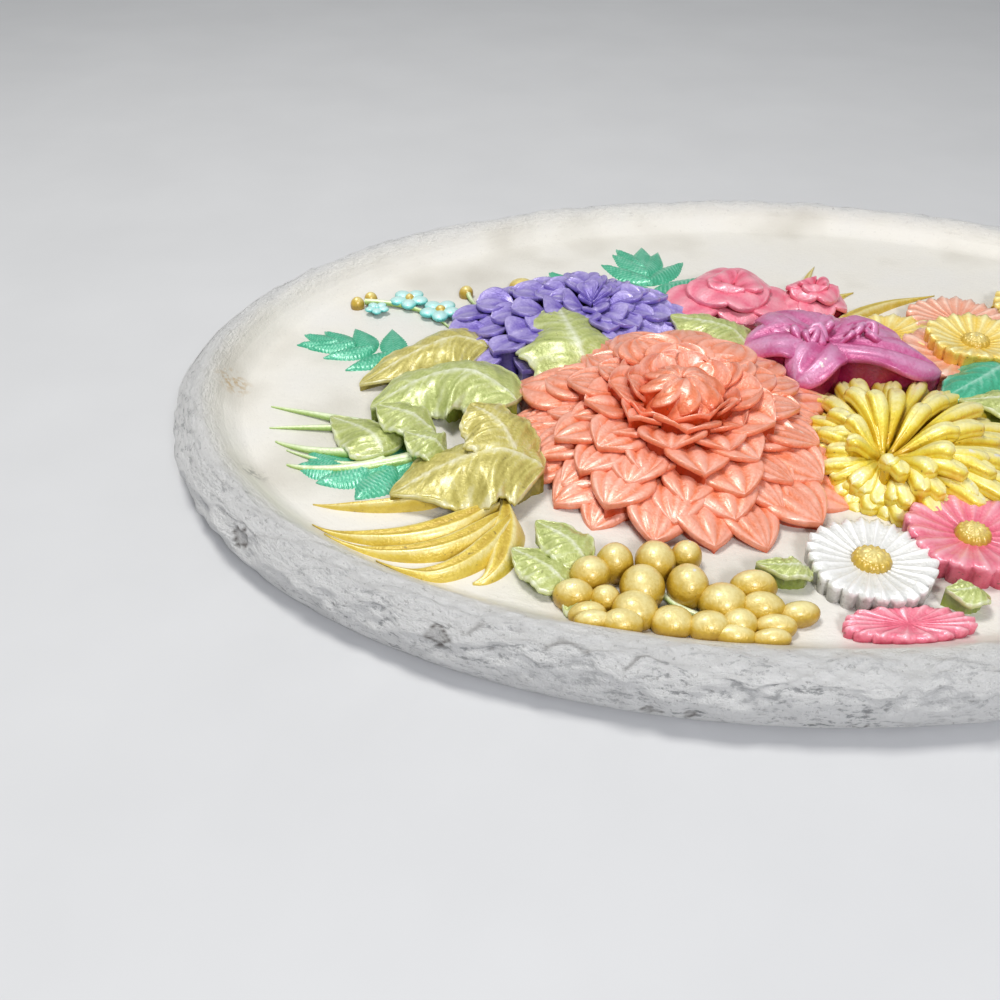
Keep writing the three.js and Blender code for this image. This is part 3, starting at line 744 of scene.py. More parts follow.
def quill_outline(u):
    """A quill is narrow at its root, fuller near its end, and closes in a half circle."""
    return (0.35 + 0.65 * smooth_step(u * 1.35)) * np.sqrt(np.clip(1 - np.clip((u - 0.86) / 0.14, 0, 1) ** 2, 0, 1))


# Painted highlight along the middle of a quill towards its end, painted shade at its root and edges
def quill_shade(u, v):
    return 0.12 + 0.75 * smooth_step(u * 1.3) * np.sqrt(np.clip(1 - v * v, 0, 1))


def make_violet_bloom():
    """Long mound of small rounded cupped petals that overlap like scales, larger towards one end."""
    depth = 0.7 * bpy.context.scene.plaque_blooms.vein_depth / MM
    moulding = Moulding()
    height = 15.0
    root, oval = (-34, -56), (-29, -62, 33, 46)
    for t, i, line, width, angle, (share, low, high) in petals_of(root, oval, VIOLET_BLOOM, 0.43, 700):
        lean = 0.4 * share * max(0.0, -math.cos(angle))
        low, high = low + lean, high + lean + 0.08 * math.sin(2.4 * i + t)
        moulding.form(line, width * (1.25 - 0.25 * (i % 2)), rounded_outline(0.62, 0.62),
                      petal_lift(height * low, height * high, 1.2, 1.0, 3, depth), petal_shade(3),
                      1100 + 37 * t + i, (15, 15), wall=1.8, tuck=2.4, roll=0.2)
    moulding.piece("violet_bloom", pearl_paint("violet"), "paint_violet")


def make_roses():
    """Blooms of a few wide rounded petals that lie over each other round a small heart."""
    moulding = Moulding()
    height = 13.0
    for r, (root, halves) in enumerate(ROSES):
        for t, i, line, width, _, (_, low, high) in petals_of(root, (*root, *halves), ROSE, 0.4, 1300 + 10 * r):
            lift = petal_lift(height * low, height * high, -0.6, 1.6, 3, 0.5)
            moulding.form(line, width * 1.2, rounded_outline(0.6, 0.42), lift, petal_shade(2),
                          1400 + 50 * r + 9 * t + i, (18, 17), wall=1.8, tuck=2.6)
    moulding.piece("rose_blooms", pearl_paint("rose"), "paint_pink")


LILY_THROAT = (-2, 20)
LILY_PETALS = [
    ((-7, -7), 27), ((16, 6), 20), ((12, 56), 19), ((-10, 50), 18), ((-24, 31), 20), ((-30, 8), 24),
]


def make_lily():
    """Open lily: broad smooth petals with one fold each, from one throat."""
    moulding = Moulding()
    throat = np.array(LILY_THROAT, float)

    def lift(u, v):
        arch = 18.0 * (0.62 + 0.3 * np.sin(math.pi * u) - 0.14 * u)
        fold = -2.2 * bell(v, 0, 0.2) * smooth_step(u * 2) * smooth_step((1 - u) * 3)
        veins = 0.35 * np.cos(7 * math.pi * v) * (1 - v**4) * smooth_step((1 - u) * 3)
        curl = 1.1 * np.sin(9 * u + 2.5 * np.sign(v)) * v**4 * np.sin(math.pi * u)
        return arch + 2.6 * (1 - v * v) + fold + veins + curl

    # Painted highlight along the sides of a petal and towards its tip
    def shade(u, v):
        return 0.35 + 0.35 * bell(np.abs(v), 0.55, 0.3) + 0.2 * u

    for i, (tip, width) in enumerate(LILY_PETALS):
        tip = np.array(tip, float)
        run = tip - throat
        side = left_of(run) * 0.06 * (1 if i % 2 else -1)
        line = [throat - 0.12 * run, (throat + tip) / 2 + side, tip]
        moulding.form(line, width, rounded_outline(0.52, 0.7), lift, shade, 1700 + i, (30, 27),
                      wall=2.2, tuck=0.1 * width, ripple=0.08)
    moulding.piece("lily", pearl_paint("magenta"), "paint_magenta")


def lobed_outline(lobes, depth):
    """Outline of a leaf with a few shallow lobes and small teeth between them."""
    whole = rounded_outline(0.4, 0.7)

    def outline(u):
        lobe = 1 - depth * (0.5 + 0.5 * np.cos(2 * math.pi * (lobes * u + 0.1)))
        return whole(u) * lobe * (1 + 0.025 * np.sin(2 * math.pi * 4.3 * lobes * u))

    return outline


LEAF_VEINS = 7


def side_vein(u, v):
    """How far a point of a leaf is from the nearest side vein, as a share of their spacing."""
    return (u * LEAF_VEINS - np.abs(v) * 1.5) % 1 - 0.5


def leaf_lift(root, tip, width):
    """Height of a leaf: a low camber, a raised midrib and side veins that slant to the tip."""

    def lift(u, v):
        camber = 0.09 * width * np.sin(math.pi * u) * (1 - 2.5 * v * v)
        slant = side_vein(u, v)
        side = 0.55 * bell(slant, 0, 0.1) - 0.4 * np.cos(2 * math.pi * slant)
        side = side * (1 - v**4) * smooth_step(np.abs(v) * 6) * smooth_step((1 - u) * 4)
        midrib = 0.9 * bell(v, 0, 0.06) * (1 - 0.6 * u) - 0.7 * bell(v, 0, 0.2)
        wave = 0.055 * width * np.sin(14 * u + 2 * np.sign(v)) * v * v * np.sin(math.pi * u)
        margin = 0.6 * bell(np.abs(v), 0.95, 0.07)
        stoop = 0.5 * root * (1 - smooth_step(2.6 * u)) * (0.6 + 0.4 * np.abs(v))
        return root + (tip - root) * u - stoop + camber + side + midrib + wave + margin

    return lift


# Painted highlight on the side veins, the midrib and the margin of a leaf, painted shade between the veins
def leaf_shade(u, v):
    slant = side_vein(u, v)
    side = 0.4 * bell(slant, 0, 0.12) * (1 - v * v) - 0.16 * np.cos(2 * math.pi * slant)
    return 0.34 + side + 0.4 * bell(v, 0, 0.07) + 0.4 * v**10


# Leaves by paint: the line of the midrib from root to tip, the width, and the heights of root and tip
PALE_LEAVES = [
    ([(10, -60), (-10, -66), (-35, -68)], 36, 14, 14),
    ([(-6, -2), (-14, -14), (-24, -29)], 26, 13, 14),
    ([(22, -86), (10, -108), (20, -133)], 32, 15, 6),
    ([(44, -128), (34, -134), (20, -146)], 17, 8, 3),
    ([(36, -112), (32, -122), (26, -130)], 15, 11, 11),
    ([(50, -108), (48, -114), (42, -121)], 13, 12, 11),
    ([(99, -71), (92, -77), (84, -84)], 13, 8, 8),
    ([(106, -77), (100, -84), (93, -91)], 12, 6, 6),
    ([(116, -70), (112, -74), (108, -80)], 10, 3, 3),
    ([(34, 86), (30, 74), (28, 56)], 16, 10, 9),
    ([(112, 30), (115, 26), (114, 20)], 9, 6, 6),
    ([(102, -12), (104, -18), (103, -27)], 8, 6, 7),
    ([(44, 118), (46, 132), (40, 150)], 22, 8, 3),
    ([(84, 78), (92, 88), (88, 104)], 16, 7, 3),
]
GOLD_LEAVES = [
    ([(-16, -94), (-16, -112), (0, -138)], 27, 12, 3),
    ([(60, -80), (58, -100), (67, -125)], 34, 15, 6),
    ([(58, -86), (48, -94), (40, -101)], 24, 15, 19),
    ([(16, 148), (14, 156), (10, 168)], 14, 5, 2),
]
TEAL_LEAVES = [
    ([(2, 84), (14, 72), (27, 50)], 24, 9, 9),
    ([(-20, 100), (-12, 116), (-18, 140)], 24, 9, 3),
]


def make_leaves(name, leaves, paint, slot, seed):
    moulding = Moulding()
    for i, (line, width, root, tip) in enumerate(leaves):
        size, lobes, depth = ((60, 33), 3, 0.2) if width > 20 else ((40, 21), 2, 0.08)
        moulding.form(line, width * 1.12, lobed_outline(lobes, depth), leaf_lift(root, tip, width), leaf_shade,
                      seed + i, size, wall=1.5, tuck=0.24 * width, ripple=0.04)
    moulding.piece(name, pearl_paint(paint), slot)


# Grass blades: the line from root to tip and the width at the root
BLADES = [
    ([(64, -106), (67, -128), (64, -148)], 5),
    ([(70, -94), (81, -120), (75, -147)], 14),
    ([(74, -92), (88, -115), (81, -143)], 12),
    ([(76, -90), (96, -108), (93, -128)], 12),
    ([(68, -92), (92, -94), (101, -102)], 15),
    ([(-28, 27), (-60, 30), (-90, 43)], 11),
    ([(-30, 30), (-52, 36), (-66, 52)], 11),
    ([(-28, 32), (-48, 52), (-62, 83)], 10),
    ([(-26, 36), (-36, 52), (-40, 71)], 9),
    ([(-44, 98), (-60, 116), (-80, 124)], 10),
    ([(-30, 118), (-46, 138), (-50, 152)], 9),
    ([(56, 112), (70, 126), (74, 144)], 10),
    ([(30, 140), (34, 156), (28, 172)], 9),
]


def make_blades():
    """Long curved grass blades with a groove between two raised ridges, which are painted pale as a painted
    highlight.
    """
    moulding = Moulding()

    def outline(u):
        root = 0.3 + 0.7 * smooth_step(u * 4)
        return 0.85 * root * (1 + 0.3 * np.sin(math.pi * u * 0.8)) * np.clip(1 - u, 0, 1) ** 0.85

    def lift(u, v):
        swell = 4.0 * (1.7 - 1.25 * u) * (1 - v * v) ** 0.8
        ridge = 0.5 * bell(np.abs(v), 0.5, 0.14) - 1.1 * bell(v, 0.1, 0.2)
        return swell - 0.3 + ridge * (1 - 0.6 * u)

    # Painted highlight on the two ridges, painted shade in the groove
    def shade(u, v):
        return 0.36 + 0.5 * bell(np.abs(v), 0.5, 0.16) - 0.2 * bell(v, 0.1, 0.2)

    for i, (line, width) in enumerate(BLADES):
        moulding.form(line, width * 0.95, outline, lift, shade, 2100 + i, (28, 15), wall=0.6, tuck=0.1)
    moulding.piece("grass_blades", pearl_paint("straw_gold"), "paint_gold")


# Fern fronds: line of the stalk, length and width of a leaflet, pairs of leaflets
FRONDS = [
    ([(-22, -124), (-29, -138), (-33, -149)], 20, 9, 3),
    ([(44, -114), (49, -128), (46, -142)], 19, 13, 3),
    ([(-64, -27), (-80, -27), (-92, -28)], 29, 10, 3),
    ([(-60, -44), (-72, -52), (-80, -60)], 16, 8, 2),
    ([(-8, 130), (-20, 146), (-28, 156)], 16, 9, 3),
    ([(82, 92), (92, 102), (97, 110)], 15, 9, 2),
]


def frond_lines():
    """Root, tip and width of every leaflet of the fronds."""
    for line, leaf, width, pairs in FRONDS:
        for i in range(pairs + 1):
            u = 0.12 + 0.88 * i / pairs
            spot, run = bend_of(line, np.array([u]))
            heading = math.atan2(run[0][1], run[0][0])
            length = leaf * (1 - 0.3 * u)
            for turn in [-0.28, 0.28] if i == pairs else [u - 1.15, 1.15 - u]:
                way = way_at(heading + turn)
                yield spot[0] - 2 * way, spot[0] + way * length, width * (1 - 0.2 * u)


def make_fronds():
    """Feather-like leaflets with a raised rib, covered with a herringbone of fine barbs."""
    moulding = Moulding()
    barbs = 14

    def barb(u, v):
        return bell((u * barbs - np.abs(v) * 2.4) % 1 - 0.5, 0, 0.24)

    def lift(u, v):
        fine = 0.26 * barb(u, v) * (1 - v**6) + 0.45 * bell(v, 0, 0.1)
        return 1.7 * (1.25 - 0.6 * u) * (1 - np.abs(v) ** 2.2) - 0.2 + fine

    # Painted highlight on the raised barbs
    def shade(u, v):
        return 0.3 + 0.5 * barb(u, v) * (1 - 0.5 * np.abs(v))

    def outline(u):
        return rounded_outline(0.42, 0.95)(u) * (1 + 0.05 * np.cos(2 * math.pi * barbs * u))

    for i, (root, tip, width) in enumerate(frond_lines()):
        moulding.form([root, tip], 1.2 * width, outline, lift, shade, 2300 + i, (56, 13), wall=0.6, tuck=0.1)
    moulding.piece("fern_fronds", pearl_paint("teal"), "paint_teal")


# Flat flowers: paint and slot, then centre, half sizes, count of petals, height and radius of the button
DAISIES = {
    "white_daisy": ("white", "paint_white", [((101, 5), 17, 17, 24, 7.0, 5.5)]),
    "pink_daisy": ("pink", "paint_pink", [((92, 36), 17, 18, 17, 8.0, 5.0), ((123, 8), 6, 17, 17, 4.0, 0)]),
    "coral_daisy": ("peach", "paint_coral", [((-33, 80), 17, 18, 21, 7.0, 0), ((-6, 70), 19, 20, 15, 8.0, 0)]),
    "yellow_daisy": (
        "sun", "paint_yellow",
        [((-11, 77), 16, 17, 18, 12.0, 5.0), ((-24, 50), 13, 21, 19, 7.0, 0), ((-42, 113), 15, 15, 17, 7.0, 5.0)],
    ),
    "cream_daisy": ("white", "paint_white", [((99, 66), 15, 15, 18, 7.0, 5.0)]),
}


def flat_flower(moulding, centre, half_x, half_y, petals, lift, seed):
    """Open flower: fluted petals side by side that rise to a thick notched edge."""
    sectors = petals * 8
    angle = np.linspace(0, 2 * np.pi, sectors, endpoint=False)
    share = np.linspace(0.04, 1, 14)[:, None]
    gap = np.abs(np.sin(petals * angle / 2)) ** 0.5
    reach = share * (0.9 + 0.1 * gap) * (1 + 0.03 * np.sin(5 * angle + seed))
    base = ground(*centre)
    flute = np.cos(2 * petals * angle) * share
    z = base + lift * (0.62 + 0.38 * share**1.5) + 0.8 * (gap - 1) * smooth_step(share * 1.5) + 0.35 * flute
    z = z - 0.9 * smooth_step((share - 0.86) * 7)
    x, y = centre[0] + half_x * reach * np.cos(angle), centre[1] + half_y * reach * np.sin(angle)
    top = np.stack([x, y, z], -1)
    edge = top[-1]
    outward = edge[:, :2] - centre
    outward = outward / np.linalg.norm(outward, axis=1, keepdims=True)
    rings = [*top]
    for drop, shift in ((0.8, 0.3), (1.6, 0.2), (base + lift, -0.5)):
        height = np.maximum(edge[:, 2] - drop, base - ROOT_DEPTH)
        rings.append(np.column_stack([edge[:, :2] + outward * shift, height]))
    # Painted highlight on the raised petals and flutes, painted shade down the walls under the edge
    ridge = 0.35 + 0.5 * gap * smooth_step(share * 1.3) + 0.2 * flute
    ridge = np.concatenate([ridge.ravel(), np.repeat([0.5, 0.25, 0.0], sectors), [0.3, 0.0]])
    crown, foot = [*centre, base + 0.62 * lift], [*centre, base - ROOT_DEPTH]
    moulding.stack(np.array(rings), crown, foot, ridge, falling=True)


def make_daisies():
    for name, (paint, slot, flowers) in DAISIES.items():
        moulding = Moulding()
        for i, (centre, half_x, half_y, petals, lift, _) in enumerate(flowers):
            flat_flower(moulding, centre, half_x, half_y, petals, lift, i)
        moulding.piece(name, pearl_paint(paint), slot)


def make_buttons():
    """Buttons of the daisies: low domes with a ring of beads round the middle."""
    moulding = Moulding()
    for _, _, flowers in DAISIES.values():
        for centre, _, _, _, lift, button in flowers:
            if button:
                button_dome(moulding, centre, button, lift)
    moulding.piece("daisy_buttons", pearl_paint("gold"), "paint_gold")


def button_dome(moulding, centre, radius, lift):
    sectors, beads = 60, 15
    angle = np.linspace(0, 2 * np.pi, sectors, endpoint=False)
    share = np.linspace(1, 0.03, 16)[:, None]
    base = ground(*centre)
    dome = 0.62 * lift + 3.6 * np.sqrt(np.clip(1.0 - share**2, 0, 1))
    z = base + dome + 0.3 * np.cos(beads * angle) * bell(share, 0.8, 0.1) - 0.55 * bell(share, 0.62, 0.07)
    z = z + 0.25 * np.cos(9 * angle) * bell(share, 0.35, 0.12)
    reach = radius * share * (1 + 0.02 * np.cos(beads * angle))
    grid = np.stack([centre[0] + reach * np.cos(angle), centre[1] + reach * np.sin(angle), z], -1)
    foot = grid[:1].copy()
    foot[..., 2] = base - ROOT_DEPTH
    # Painted highlight on the top of the button, painted shade at its foot
    ridge = np.repeat(np.concatenate([[0.0], 0.35 + 0.5 * (1 - share[:, 0] ** 2)]), sectors)
    moulding.stack(np.concatenate([foot, grid]), [*centre, base - ROOT_DEPTH], [*centre, z[-1].mean() + 0.05],
                   np.concatenate([ridge, [0.0, 0.9]]))


# Node trees that place, sweep and scatter


def new_tree(name, *inputs):
    """An empty geometry tree with a geometry and a paint as inputs, and between them these named ones."""
    tree = bpy.data.node_groups.new(name, "GeometryNodeTree")
    face = tree.interface
    face.new_socket("Geometry", in_out="INPUT", socket_type="NodeSocketGeometry")
    for label, kind, value in inputs:
        face.new_socket(label, in_out="INPUT", socket_type=f"NodeSocket{kind}").default_value = value
    face.new_socket("Paint", in_out="INPUT", socket_type="NodeSocketMaterial")
    face.new_socket("Geometry", in_out="OUTPUT", socket_type="NodeSocketGeometry")
    return tree, tree.nodes.new("NodeGroupInput").outputs


def close_tree(tree, geometry, paint):
    """Ends a tree: real smooth meshes in their paint, painted lighter where they face out of the plaque, a painted
    highlight.
    """
    facing = add(tree, "ShaderNodeSeparateXYZ", {"Vector": add(tree, "GeometryNodeInputNormal")}, "Y")
    shine = {"Geometry": geometry, "Name": "ridge", "Value": spread(tree, facing, -0.1, -1.0, 0.12, 0.95)}
    shaded = add(tree, "GeometryNodeStoreNamedAttribute", shine)
    real = add(tree, "GeometryNodeRealizeInstances", {"Geometry": shaded})
    smooth = add(tree, "GeometryNodeSetShadeSmooth", {"Geometry": real})
    painted = add(tree, "GeometryNodeSetMaterial", {"Geometry": smooth, "Material": paint})
    add(tree, "NodeGroupOutput", {"Geometry": painted})
    return tree


def given(tree, label, kind="FLOAT"):
    """What each point says under this label."""
    return add(tree, "GeometryNodeInputNamedAttribute", {"Name": label}, data_type=kind)


def berry_tree():
    """Sets one berry on each point, at that point's own half sizes, and dents it a little."""
    tree, inputs = new_tree("berries", ("Sides", "Int", 22), ("Dent", "Float", 0.0004))
    turn = add(tree, "FunctionNodeRandomValue", {"Min": (-0.12,) * 3, "Max": (0.12,) * 3, "Seed": 5},
               data_type="FLOAT_VECTOR")
    berries = add(tree, "GeometryNodeInstanceOnPoints", {
        "Points": inputs["Geometry"], "Rotation": turn, "Scale": given(tree, "half_size", "FLOAT_VECTOR"),
        "Instance": add(tree, "GeometryNodeMeshUVSphere", {"Segments": inputs["Sides"], "Rings": 14, "Radius": 1.0}),
    })
    real = add(tree, "GeometryNodeRealizeInstances", {"Geometry": berries})
    place = add(tree, "GeometryNodeInputPosition")
    cloud = add(tree, "ShaderNodeTexNoise", {"Scale": per_metre(4.0), "Detail": 1.0, "Vector": place}, "Color")
    push = add(tree, "ShaderNodeVectorMath", {"Vector": cloud, "Scale": inputs["Dent"]}, operation="SCALE")
    dented = add(tree, "GeometryNodeSetPosition", {"Geometry": real, "Offset": push})
    return close_tree(tree, dented, inputs["Paint"])


def sweep_tree():
    """Sweeps a round section along each line, as thick as the line says at each point."""
    tree, inputs = new_tree("stems", ("Sides", "Int", 12), ("Step", "Float", 0.0015))
    line = add(tree, "GeometryNodeMeshToCurve", {"Mesh": inputs["Geometry"]})
    even = add(tree, "GeometryNodeResampleCurve", {"Curve": line, "Length": inputs["Step"]}, mode="LENGTH")
    section = add(tree, "GeometryNodeCurvePrimitiveCircle", {"Radius": 1.0, "Resolution": inputs["Sides"]})
    swept = add(tree, "GeometryNodeCurveToMesh", {
        "Curve": even, "Profile Curve": section, "Scale": given(tree, "thick"), "Fill Caps": True,
    })
    return close_tree(tree, swept, inputs["Paint"])


def petal_ring_tree():
    """Sets a ring of flattened petals round each point, turned out from it, and a bead in the middle."""
    tree, inputs = new_tree("star_flowers", ("Petals", "Int", 5), ("Petal", "Vector", (0.0034, 0.0030, 0.0015)),
                            ("Reach", "Float", 0.0042), ("Bead", "Float", 0.0019))
    ring = add(tree, "GeometryNodeMeshCircle", {"Vertices": inputs["Petals"], "Radius": inputs["Reach"]})
    place = add(tree, "GeometryNodeInputPosition")
    petals = add(tree, "GeometryNodeInstanceOnPoints", {
        "Points": ring, "Scale": inputs["Petal"],
        "Instance": add(tree, "GeometryNodeMeshUVSphere", {"Segments": 16, "Rings": 10, "Radius": 1.0}),
        "Rotation": add(tree, "FunctionNodeAlignRotationToVector", {"Vector": place}, axis="X"),
    })
    bead = add(tree, "GeometryNodeMeshUVSphere", {"Segments": 14, "Rings": 8, "Radius": inputs["Bead"]})
    both = add(tree, "GeometryNodeJoinGeometry", {"Geometry": [petals, bead]})
    upright = add(tree, "GeometryNodeTransform", {"Rotation": (math.pi / 2, 0.0, 0.0), "Geometry": both})
    flowers = add(tree, "GeometryNodeInstanceOnPoints", {
        "Points": inputs["Geometry"], "Instance": upright, "Scale": given(tree, "size"),
    })
    return close_tree(tree, add(tree, "GeometryNodeRealizeInstances", {"Geometry": flowers}), inputs["Paint"])


def grow(name, tree, points, values, paint, slot, edges=()):
    """Runs a tree on points or lines in the face drawing and keeps the result as a plain mesh."""
    lines = bpy.data.meshes.new(name + "_lines")
    lines.from_pydata(to_row(points).tolist(), edges, [])
    for label, amounts in values.items():
        amounts = np.asarray(amounts, np.float32)
        kind, key = ("FLOAT_VECTOR", "vector") if amounts.ndim == 2 else ("FLOAT", "value")
        lines.attributes.new(label, kind, "POINT").data.foreach_set(key, amounts.ravel())
    holder = bpy.data.objects.new(name + "_lines", lines)
    bpy.context.scene.collection.objects.link(holder)
    modifier = holder.modifiers.new("tree", "NODES")
    modifier.node_group = tree
    modifier[tree.interface.items_tree["Paint"].identifier] = pearl_paint(paint)
    mesh = bpy.data.meshes.new_from_object(holder.evaluated_get(bpy.context.evaluated_depsgraph_get()))
    bpy.data.objects.remove(holder)
    if not mesh.polygons:
        raise RuntimeError(f"the tree for {name} made no mesh")
    mesh.name = name
    dress(name, mesh, pearl_paint(paint), slot)


BERRY_HEIGHT = 10.0
# Berries: centre, half sizes and share of the full height
BERRIES = [
    (98, -64, 6, 6, 1), (98, -53, 7, 6.5, 1), (95, -44, 5, 5, 0.8), (102, -71, 6, 6.5, 0.9),
    (108, -58, 7.5, 7, 1), (108, -46, 7, 6.5, 1), (109, -76, 5, 6.5, 0.75), (111, -68, 4.5, 5, 0.7),
    (116, -61, 6.5, 7, 0.85), (116, -73, 4, 6, 0.6), (120, -72, 3.2, 6, 0.5), (121, -65, 4.6, 6.5, 0.65),
    (120, -52, 5.5, 6.5, 0.7), (122, -43, 5, 6.5, 0.7), (114, -38, 6.5, 7.5, 0.85), (109, -29, 5, 7.5, 0.9),
    (116, -28, 5, 7, 0.75), (121, -35, 5, 5.5, 0.65), (118, -19, 4, 6.5, 0.6), (122, -26, 3.8, 6.5, 0.55),
    (125, -37, 3.4, 6.5, 0.5), (126, -28, 3, 6, 0.45),
]
BUDS = [
    (-62, -143, 2.4), (-66, -138, 2.4), (-70, -101, 2.6), (-75, -79, 4.5), (-24, 162, 3.5),
    (-64, -123, 2.0), (-54, -111, 2.2), (-62, 128, 2.0),
]
STAR_FLOWERS = [(-64, -123, 8), (-54, -111, 8.5), (-57, -135, 5), (-62, 128, 8)]


def over_dish(rows, lift):
    """Places of rows that start with x and y, this high over the bare dish."""
    return np.column_stack([rows[:, :2], ground(rows[:, 0], rows[:, 1]) + lift])


def make_berries(tree):
    rows = np.array(BERRIES, float)
    height = BERRY_HEIGHT * rows[:, 4]
    half = np.column_stack([0.88 * rows[:, 2], 0.56 * height + 0.6, 0.86 * rows[:, 3]]) * MM
    grow("berries", tree, over_dish(rows, 0.44 * height - 0.6), {"half_size": half}, "berry", "paint_gold")


def make_buds(tree):
    rows = np.array(BUDS, float)
    half = np.column_stack([rows[:, 2], np.full(len(rows), 3.4), rows[:, 2] * 1.1]) * MM
    grow("buds", tree, over_dish(rows, 1.4), {"half_size": half}, "gold", "paint_gold")


def make_star_flowers(tree):
    rows = np.array(STAR_FLOWERS, float)
    grow("star_flowers", tree, over_dish(rows, 2.2), {"size": rows[:, 2] / 8}, "aqua", "paint_teal")


# Stems and tendrils: line from root to tip, and share of the full width
STEM_WIDTH = 3.2
STEMS = [
    ([(9, -167), (17, -149), (25, -132)], 1), ([(22, -166), (24, -148), (27, -132)], 0.9),
    ([(30, -163), (38, -146), (39, -126)], 1.3), ([(35, -159), (45, -140), (44, -128)], 0.9),
    ([(43, -158), (47, -138), (40, -110)], 1.4), ([(-36, -104), (-56, -118), (-63, -140)], 0.7),
    ([(-50, -92), (-62, -98), (-68, -100)], 0.6), ([(96, -50), (108, -52), (118, -44)], 0.6),
    ([(104, -44), (112, -38), (122, -40)], 0.6), ([(-14, 132), (-22, 148), (-24, 160)], 0.7),
]


def sweep(name, tree, lines, steps, height, thick, paint, slot):
    """Sweeps smooth lines, whose heights over the dish and thickness are given along them, in one piece."""
    points, edges, widths = [], [], []
    for k, (line, share) in enumerate(lines):
        u = np.linspace(0, 1, steps)
        place, _ = bend_of(line, u)
        edges.extend((len(points) + i, len(points) + i + 1) for i in range(steps - 1))
        points.extend(over_dish(place, height(u, k)).tolist())
        widths.extend((thick(u) * share * MM).tolist())
    grow(name, tree, points, {"thick": widths}, paint, slot, edges)


def make_stems(tree):
    sweep("stems", tree, STEMS, 24, lambda u, k: 0.2 + 1.9 * u,
          lambda u: STEM_WIDTH / 2 * (0.16 + 0.9 * u**0.7), "stem_green", "paint_leaf_green")


STAMENS = 13


def make_stamens(tree):
    """Short curled stamens that stand over the lily's throat."""
    chance = np.random.default_rng(77)
    lines = []
    for _ in range(STAMENS):
        foot = np.array(LILY_THROAT) + chance.uniform((-7, -12), (6, 16))
        way = way_at(chance.uniform(0, 2 * math.pi)) * chance.uniform(5, 9)
        curl = left_of(way) * chance.choice([-0.7, 0.7])
        lines.append(([foot, foot + way * 0.7 + curl * 0.2, foot + way * 0.5 + curl], chance.uniform(0.8, 1.2)))
    sweep("stamens", tree, lines, 16, lambda u, k: 14.5 + 4.2 * np.sin(math.pi * u) + 0.4 * (k % 3),
          lambda u: 0.9 + 0.8 * u, "magenta", "paint_magenta")


# Operators


class PLAQUE_OT_dish(bpy.types.Operator):
    """Pour the oval dish with its rough rounded rim"""

    bl_idname = "plaque.dish"
    bl_label = "Dish"

    def execute(self, context):
        make_dish()
        return {"FINISHED"}


class PLAQUE_OT_large_blooms(bpy.types.Operator):
    """Make the dahlias, the chrysanthemum, the violet bloom, the roses and the lily"""

    bl_idname = "plaque.large_blooms"
    bl_label = "Large blooms"

    def execute(self, context):
        make_dahlia("large_dahlia", (35, -36), 55.0, 24.6, 12.0, LARGE_DAHLIA, 0.26)
        make_dahlia("small_dahlia", (16, 122), 31.0, 17.0, 7.0, SMALL_DAHLIA, 0.0)
        make_chrysanthemum()
        make_violet_bloom()
        make_roses()
        make_lily()
        return {"FINISHED"}


class PLAQUE_OT_leaves(bpy.types.Operator):
    """Make the leaves, the grass blades and the fern fronds"""

    bl_idname = "plaque.leaves"
    bl_label = "Leaves"

    def execute(self, context):
        make_leaves("pale_leaves", PALE_LEAVES, "leaf_green", "paint_leaf_green", 1800)
        make_leaves("gold_leaves", GOLD_LEAVES, "olive_gold", "paint_gold", 1900)
        make_leaves("teal_leaves", TEAL_LEAVES, "teal", "paint_teal", 1950)
        make_fronds()
        make_blades()
        return {"FINISHED"}


class PLAQUE_OT_small_flowers(bpy.types.Operator):
    """Make the daisies with their buttons and the star flowers"""

    bl_idname = "plaque.small_flowers"
    bl_label = "Small flowers"

    def execute(self, context):
        make_daisies()
        make_buttons()
        make_star_flowers(petal_ring_tree())
        return {"FINISHED"}


class PLAQUE_OT_berries_and_stems(bpy.types.Operator):
    """Make the berries, the buds, the stems and the lily's stamens"""

    bl_idname = "plaque.berries_and_stems"
    bl_label = "Berries and stems"

    def execute(self, context):
        balls, tubes = berry_tree(), sweep_tree()
        make_berries(balls)
        make_buds(balls)
        make_stems(tubes)
        make_stamens(tubes)
        return {"FINISHED"}


# Soft square lights aimed at the middle of the plaque: place, size, power and colour
LIGHTS = {
    "key": ((-0.05, -1.02, -0.30), 0.28, 6.8, "#FFFDF8"),
    "fill": ((0.92, -0.66, 0.10), 0.2, 6.0, "#FBFBFF"),
    "behind": ((-0.55, 0.95, 0.55), 0.4, 6.0, "#FFFDF8"),
}
CAMERA_PLACE = (0.3188, -0.2045, -0.1038)
CAMERA_RIGHT = (0.0419, 0.0, 0.9991)
CAMERA_FORWARD = (-0.7979, 0.6018, 0.0334)


class PLAQUE_OT_stage(bpy.types.Operator):
    """Set the pale board, the soft lights and the camera"""

    bl_idname = "plaque.stage"
    bl_label = "Stage"

    def execute(self, context):
        scene = context.scene
        lay_board()
        world = bpy.data.worlds.new("pale_room")
        world.use_nodes = True
        sky = world.node_tree.nodes["Background"].inputs
        sky["Color"].default_value = linear("#EEF1F5")
        sky["Strength"].default_value = 0.35
        scene.world = world
        scene.view_settings.view_transform = "Standard"
        for name, light in LIGHTS.items():
            add_light(name, *light)
        camera = bpy.data.cameras.new("camera")
        camera.lens, camera.sensor_width, camera.clip_start = 39.0, 36.0, 0.01
        holder = bpy.data.objects.new("camera", camera)
        right, forward = Vector(CAMERA_RIGHT).normalized(), Vector(CAMERA_FORWARD).normalized()
        turn = Matrix((right, right.cross(forward), -forward)).transposed().to_4x4()
        holder.matrix_world = Matrix.Translation(CAMERA_PLACE) @ turn
        scene.collection.objects.link(holder)
        scene.camera = holder
        return {"FINISHED"}


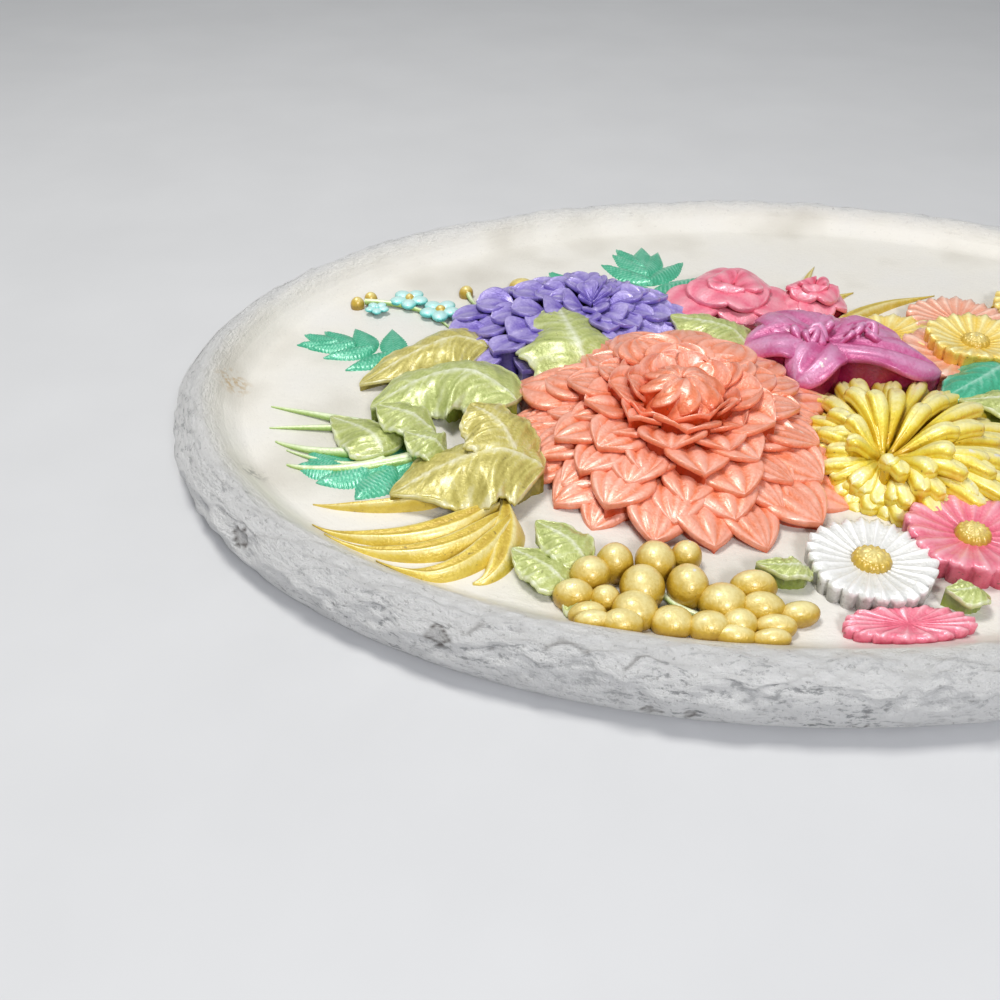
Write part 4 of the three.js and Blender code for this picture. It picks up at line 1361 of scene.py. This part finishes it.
def lay_board():
    """A wide board under the plaque, open beneath its flat back, so that the light behind reaches the back."""
    count, reach, gap, cover = 96, 4.2, 0.0004, 3.0
    angle = np.linspace(0, 2 * np.pi, count, endpoint=False)
    way = np.stack([np.cos(angle), 0 * angle, np.sin(angle)], -1)
    opening = (edge_radius(angle) - BACK_INSET - cover)[:, None] * MM * way
    corners = np.concatenate([opening, reach * way]) + (0, gap, 0)
    index = np.arange(count)
    after = np.roll(index, -1)
    faces = np.stack([index, index + count, after + count, after], -1)
    board = bpy.data.meshes.new("board")
    board.from_pydata(corners.tolist(), [], faces.tolist())
    board.materials.append(board_paint())
    stage = bpy.data.objects.new("board", board)
    bpy.context.scene.collection.objects.link(stage)
    stage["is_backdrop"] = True


def board_paint():
    """Matt pale paint on a board, seen only from its painted side, so that the back of the plaque shows."""
    material, tree = new_material("matt_board_paint")
    tone = ramp(tree, grains(tree, 60.0), (0.0, linear("#C9CACC")), (1.0, linear("#D3D4D6")))
    paint = add(tree, "ShaderNodeBsdfPrincipled", {"Roughness": 0.75, "Base Color": tone})
    side = add(tree, "ShaderNodeNewGeometry", output="Backfacing")
    both = add(tree, "ShaderNodeMixShader", {0: side, 1: paint, 2: add(tree, "ShaderNodeBsdfTransparent")})
    add(tree, "ShaderNodeOutputMaterial", {"Surface": both})
    return material


def add_light(name, place, size, power, code):
    lamp = bpy.data.lights.new(name, "AREA")
    lamp.size, lamp.energy, lamp.color = size, power, linear(code)[:3]
    holder = bpy.data.objects.new(name, lamp)
    holder.location = place
    holder.rotation_mode = "QUATERNION"
    holder.rotation_quaternion = (-Vector(place)).to_track_quat("-Z", "Y")
    bpy.context.scene.collection.objects.link(holder)


class PLAQUE_PT_panel(bpy.types.Panel):
    bl_idname = "PLAQUE_PT_panel"
    bl_label = "Wall plaque"
    bl_space_type = "VIEW_3D"
    bl_region_type = "UI"
    bl_category = "Plaque"

    def draw(self, context):
        layout = self.layout
        for group in SETTINGS:
            settings = getattr(context.scene, group)
            for key in settings.__annotations__:
                layout.prop(settings, key)
        for operator in OPERATORS:
            layout.operator(operator.bl_idname)


SETTINGS = {
    "plaque_dish": PlaqueDishSettings,
    "plaque_blooms": PlaqueBloomSettings,
    "plaque_paint": PlaquePaintSettings,
}
OPERATORS = [
    PLAQUE_OT_dish,
    PLAQUE_OT_large_blooms,
    PLAQUE_OT_leaves,
    PLAQUE_OT_small_flowers,
    PLAQUE_OT_berries_and_stems,
    PLAQUE_OT_stage,
]


def register():
    for name, group in SETTINGS.items():
        bpy.utils.register_class(group)
        setattr(bpy.types.Scene, name, bpy.props.PointerProperty(type=group))
    for item in [*OPERATORS, PLAQUE_PT_panel]:
        bpy.utils.register_class(item)


def unregister():
    for item in [PLAQUE_PT_panel, *reversed(OPERATORS)]:
        bpy.utils.unregister_class(item)
    for name, group in SETTINGS.items():
        delattr(bpy.types.Scene, name)
        bpy.utils.unregister_class(group)


def main():
    register()
    bpy.ops.plaque.dish()
    bpy.ops.plaque.large_blooms()
    bpy.ops.plaque.leaves()
    bpy.ops.plaque.small_flowers()
    bpy.ops.plaque.berries_and_stems()
    bpy.ops.plaque.stage()
    boxes = {"cad": CAD_BOX, "visual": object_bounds()}
    sizes = {name: [list(corner) for corner in box] for name, box in boxes.items()}


if __name__ == "__main__":
    main()
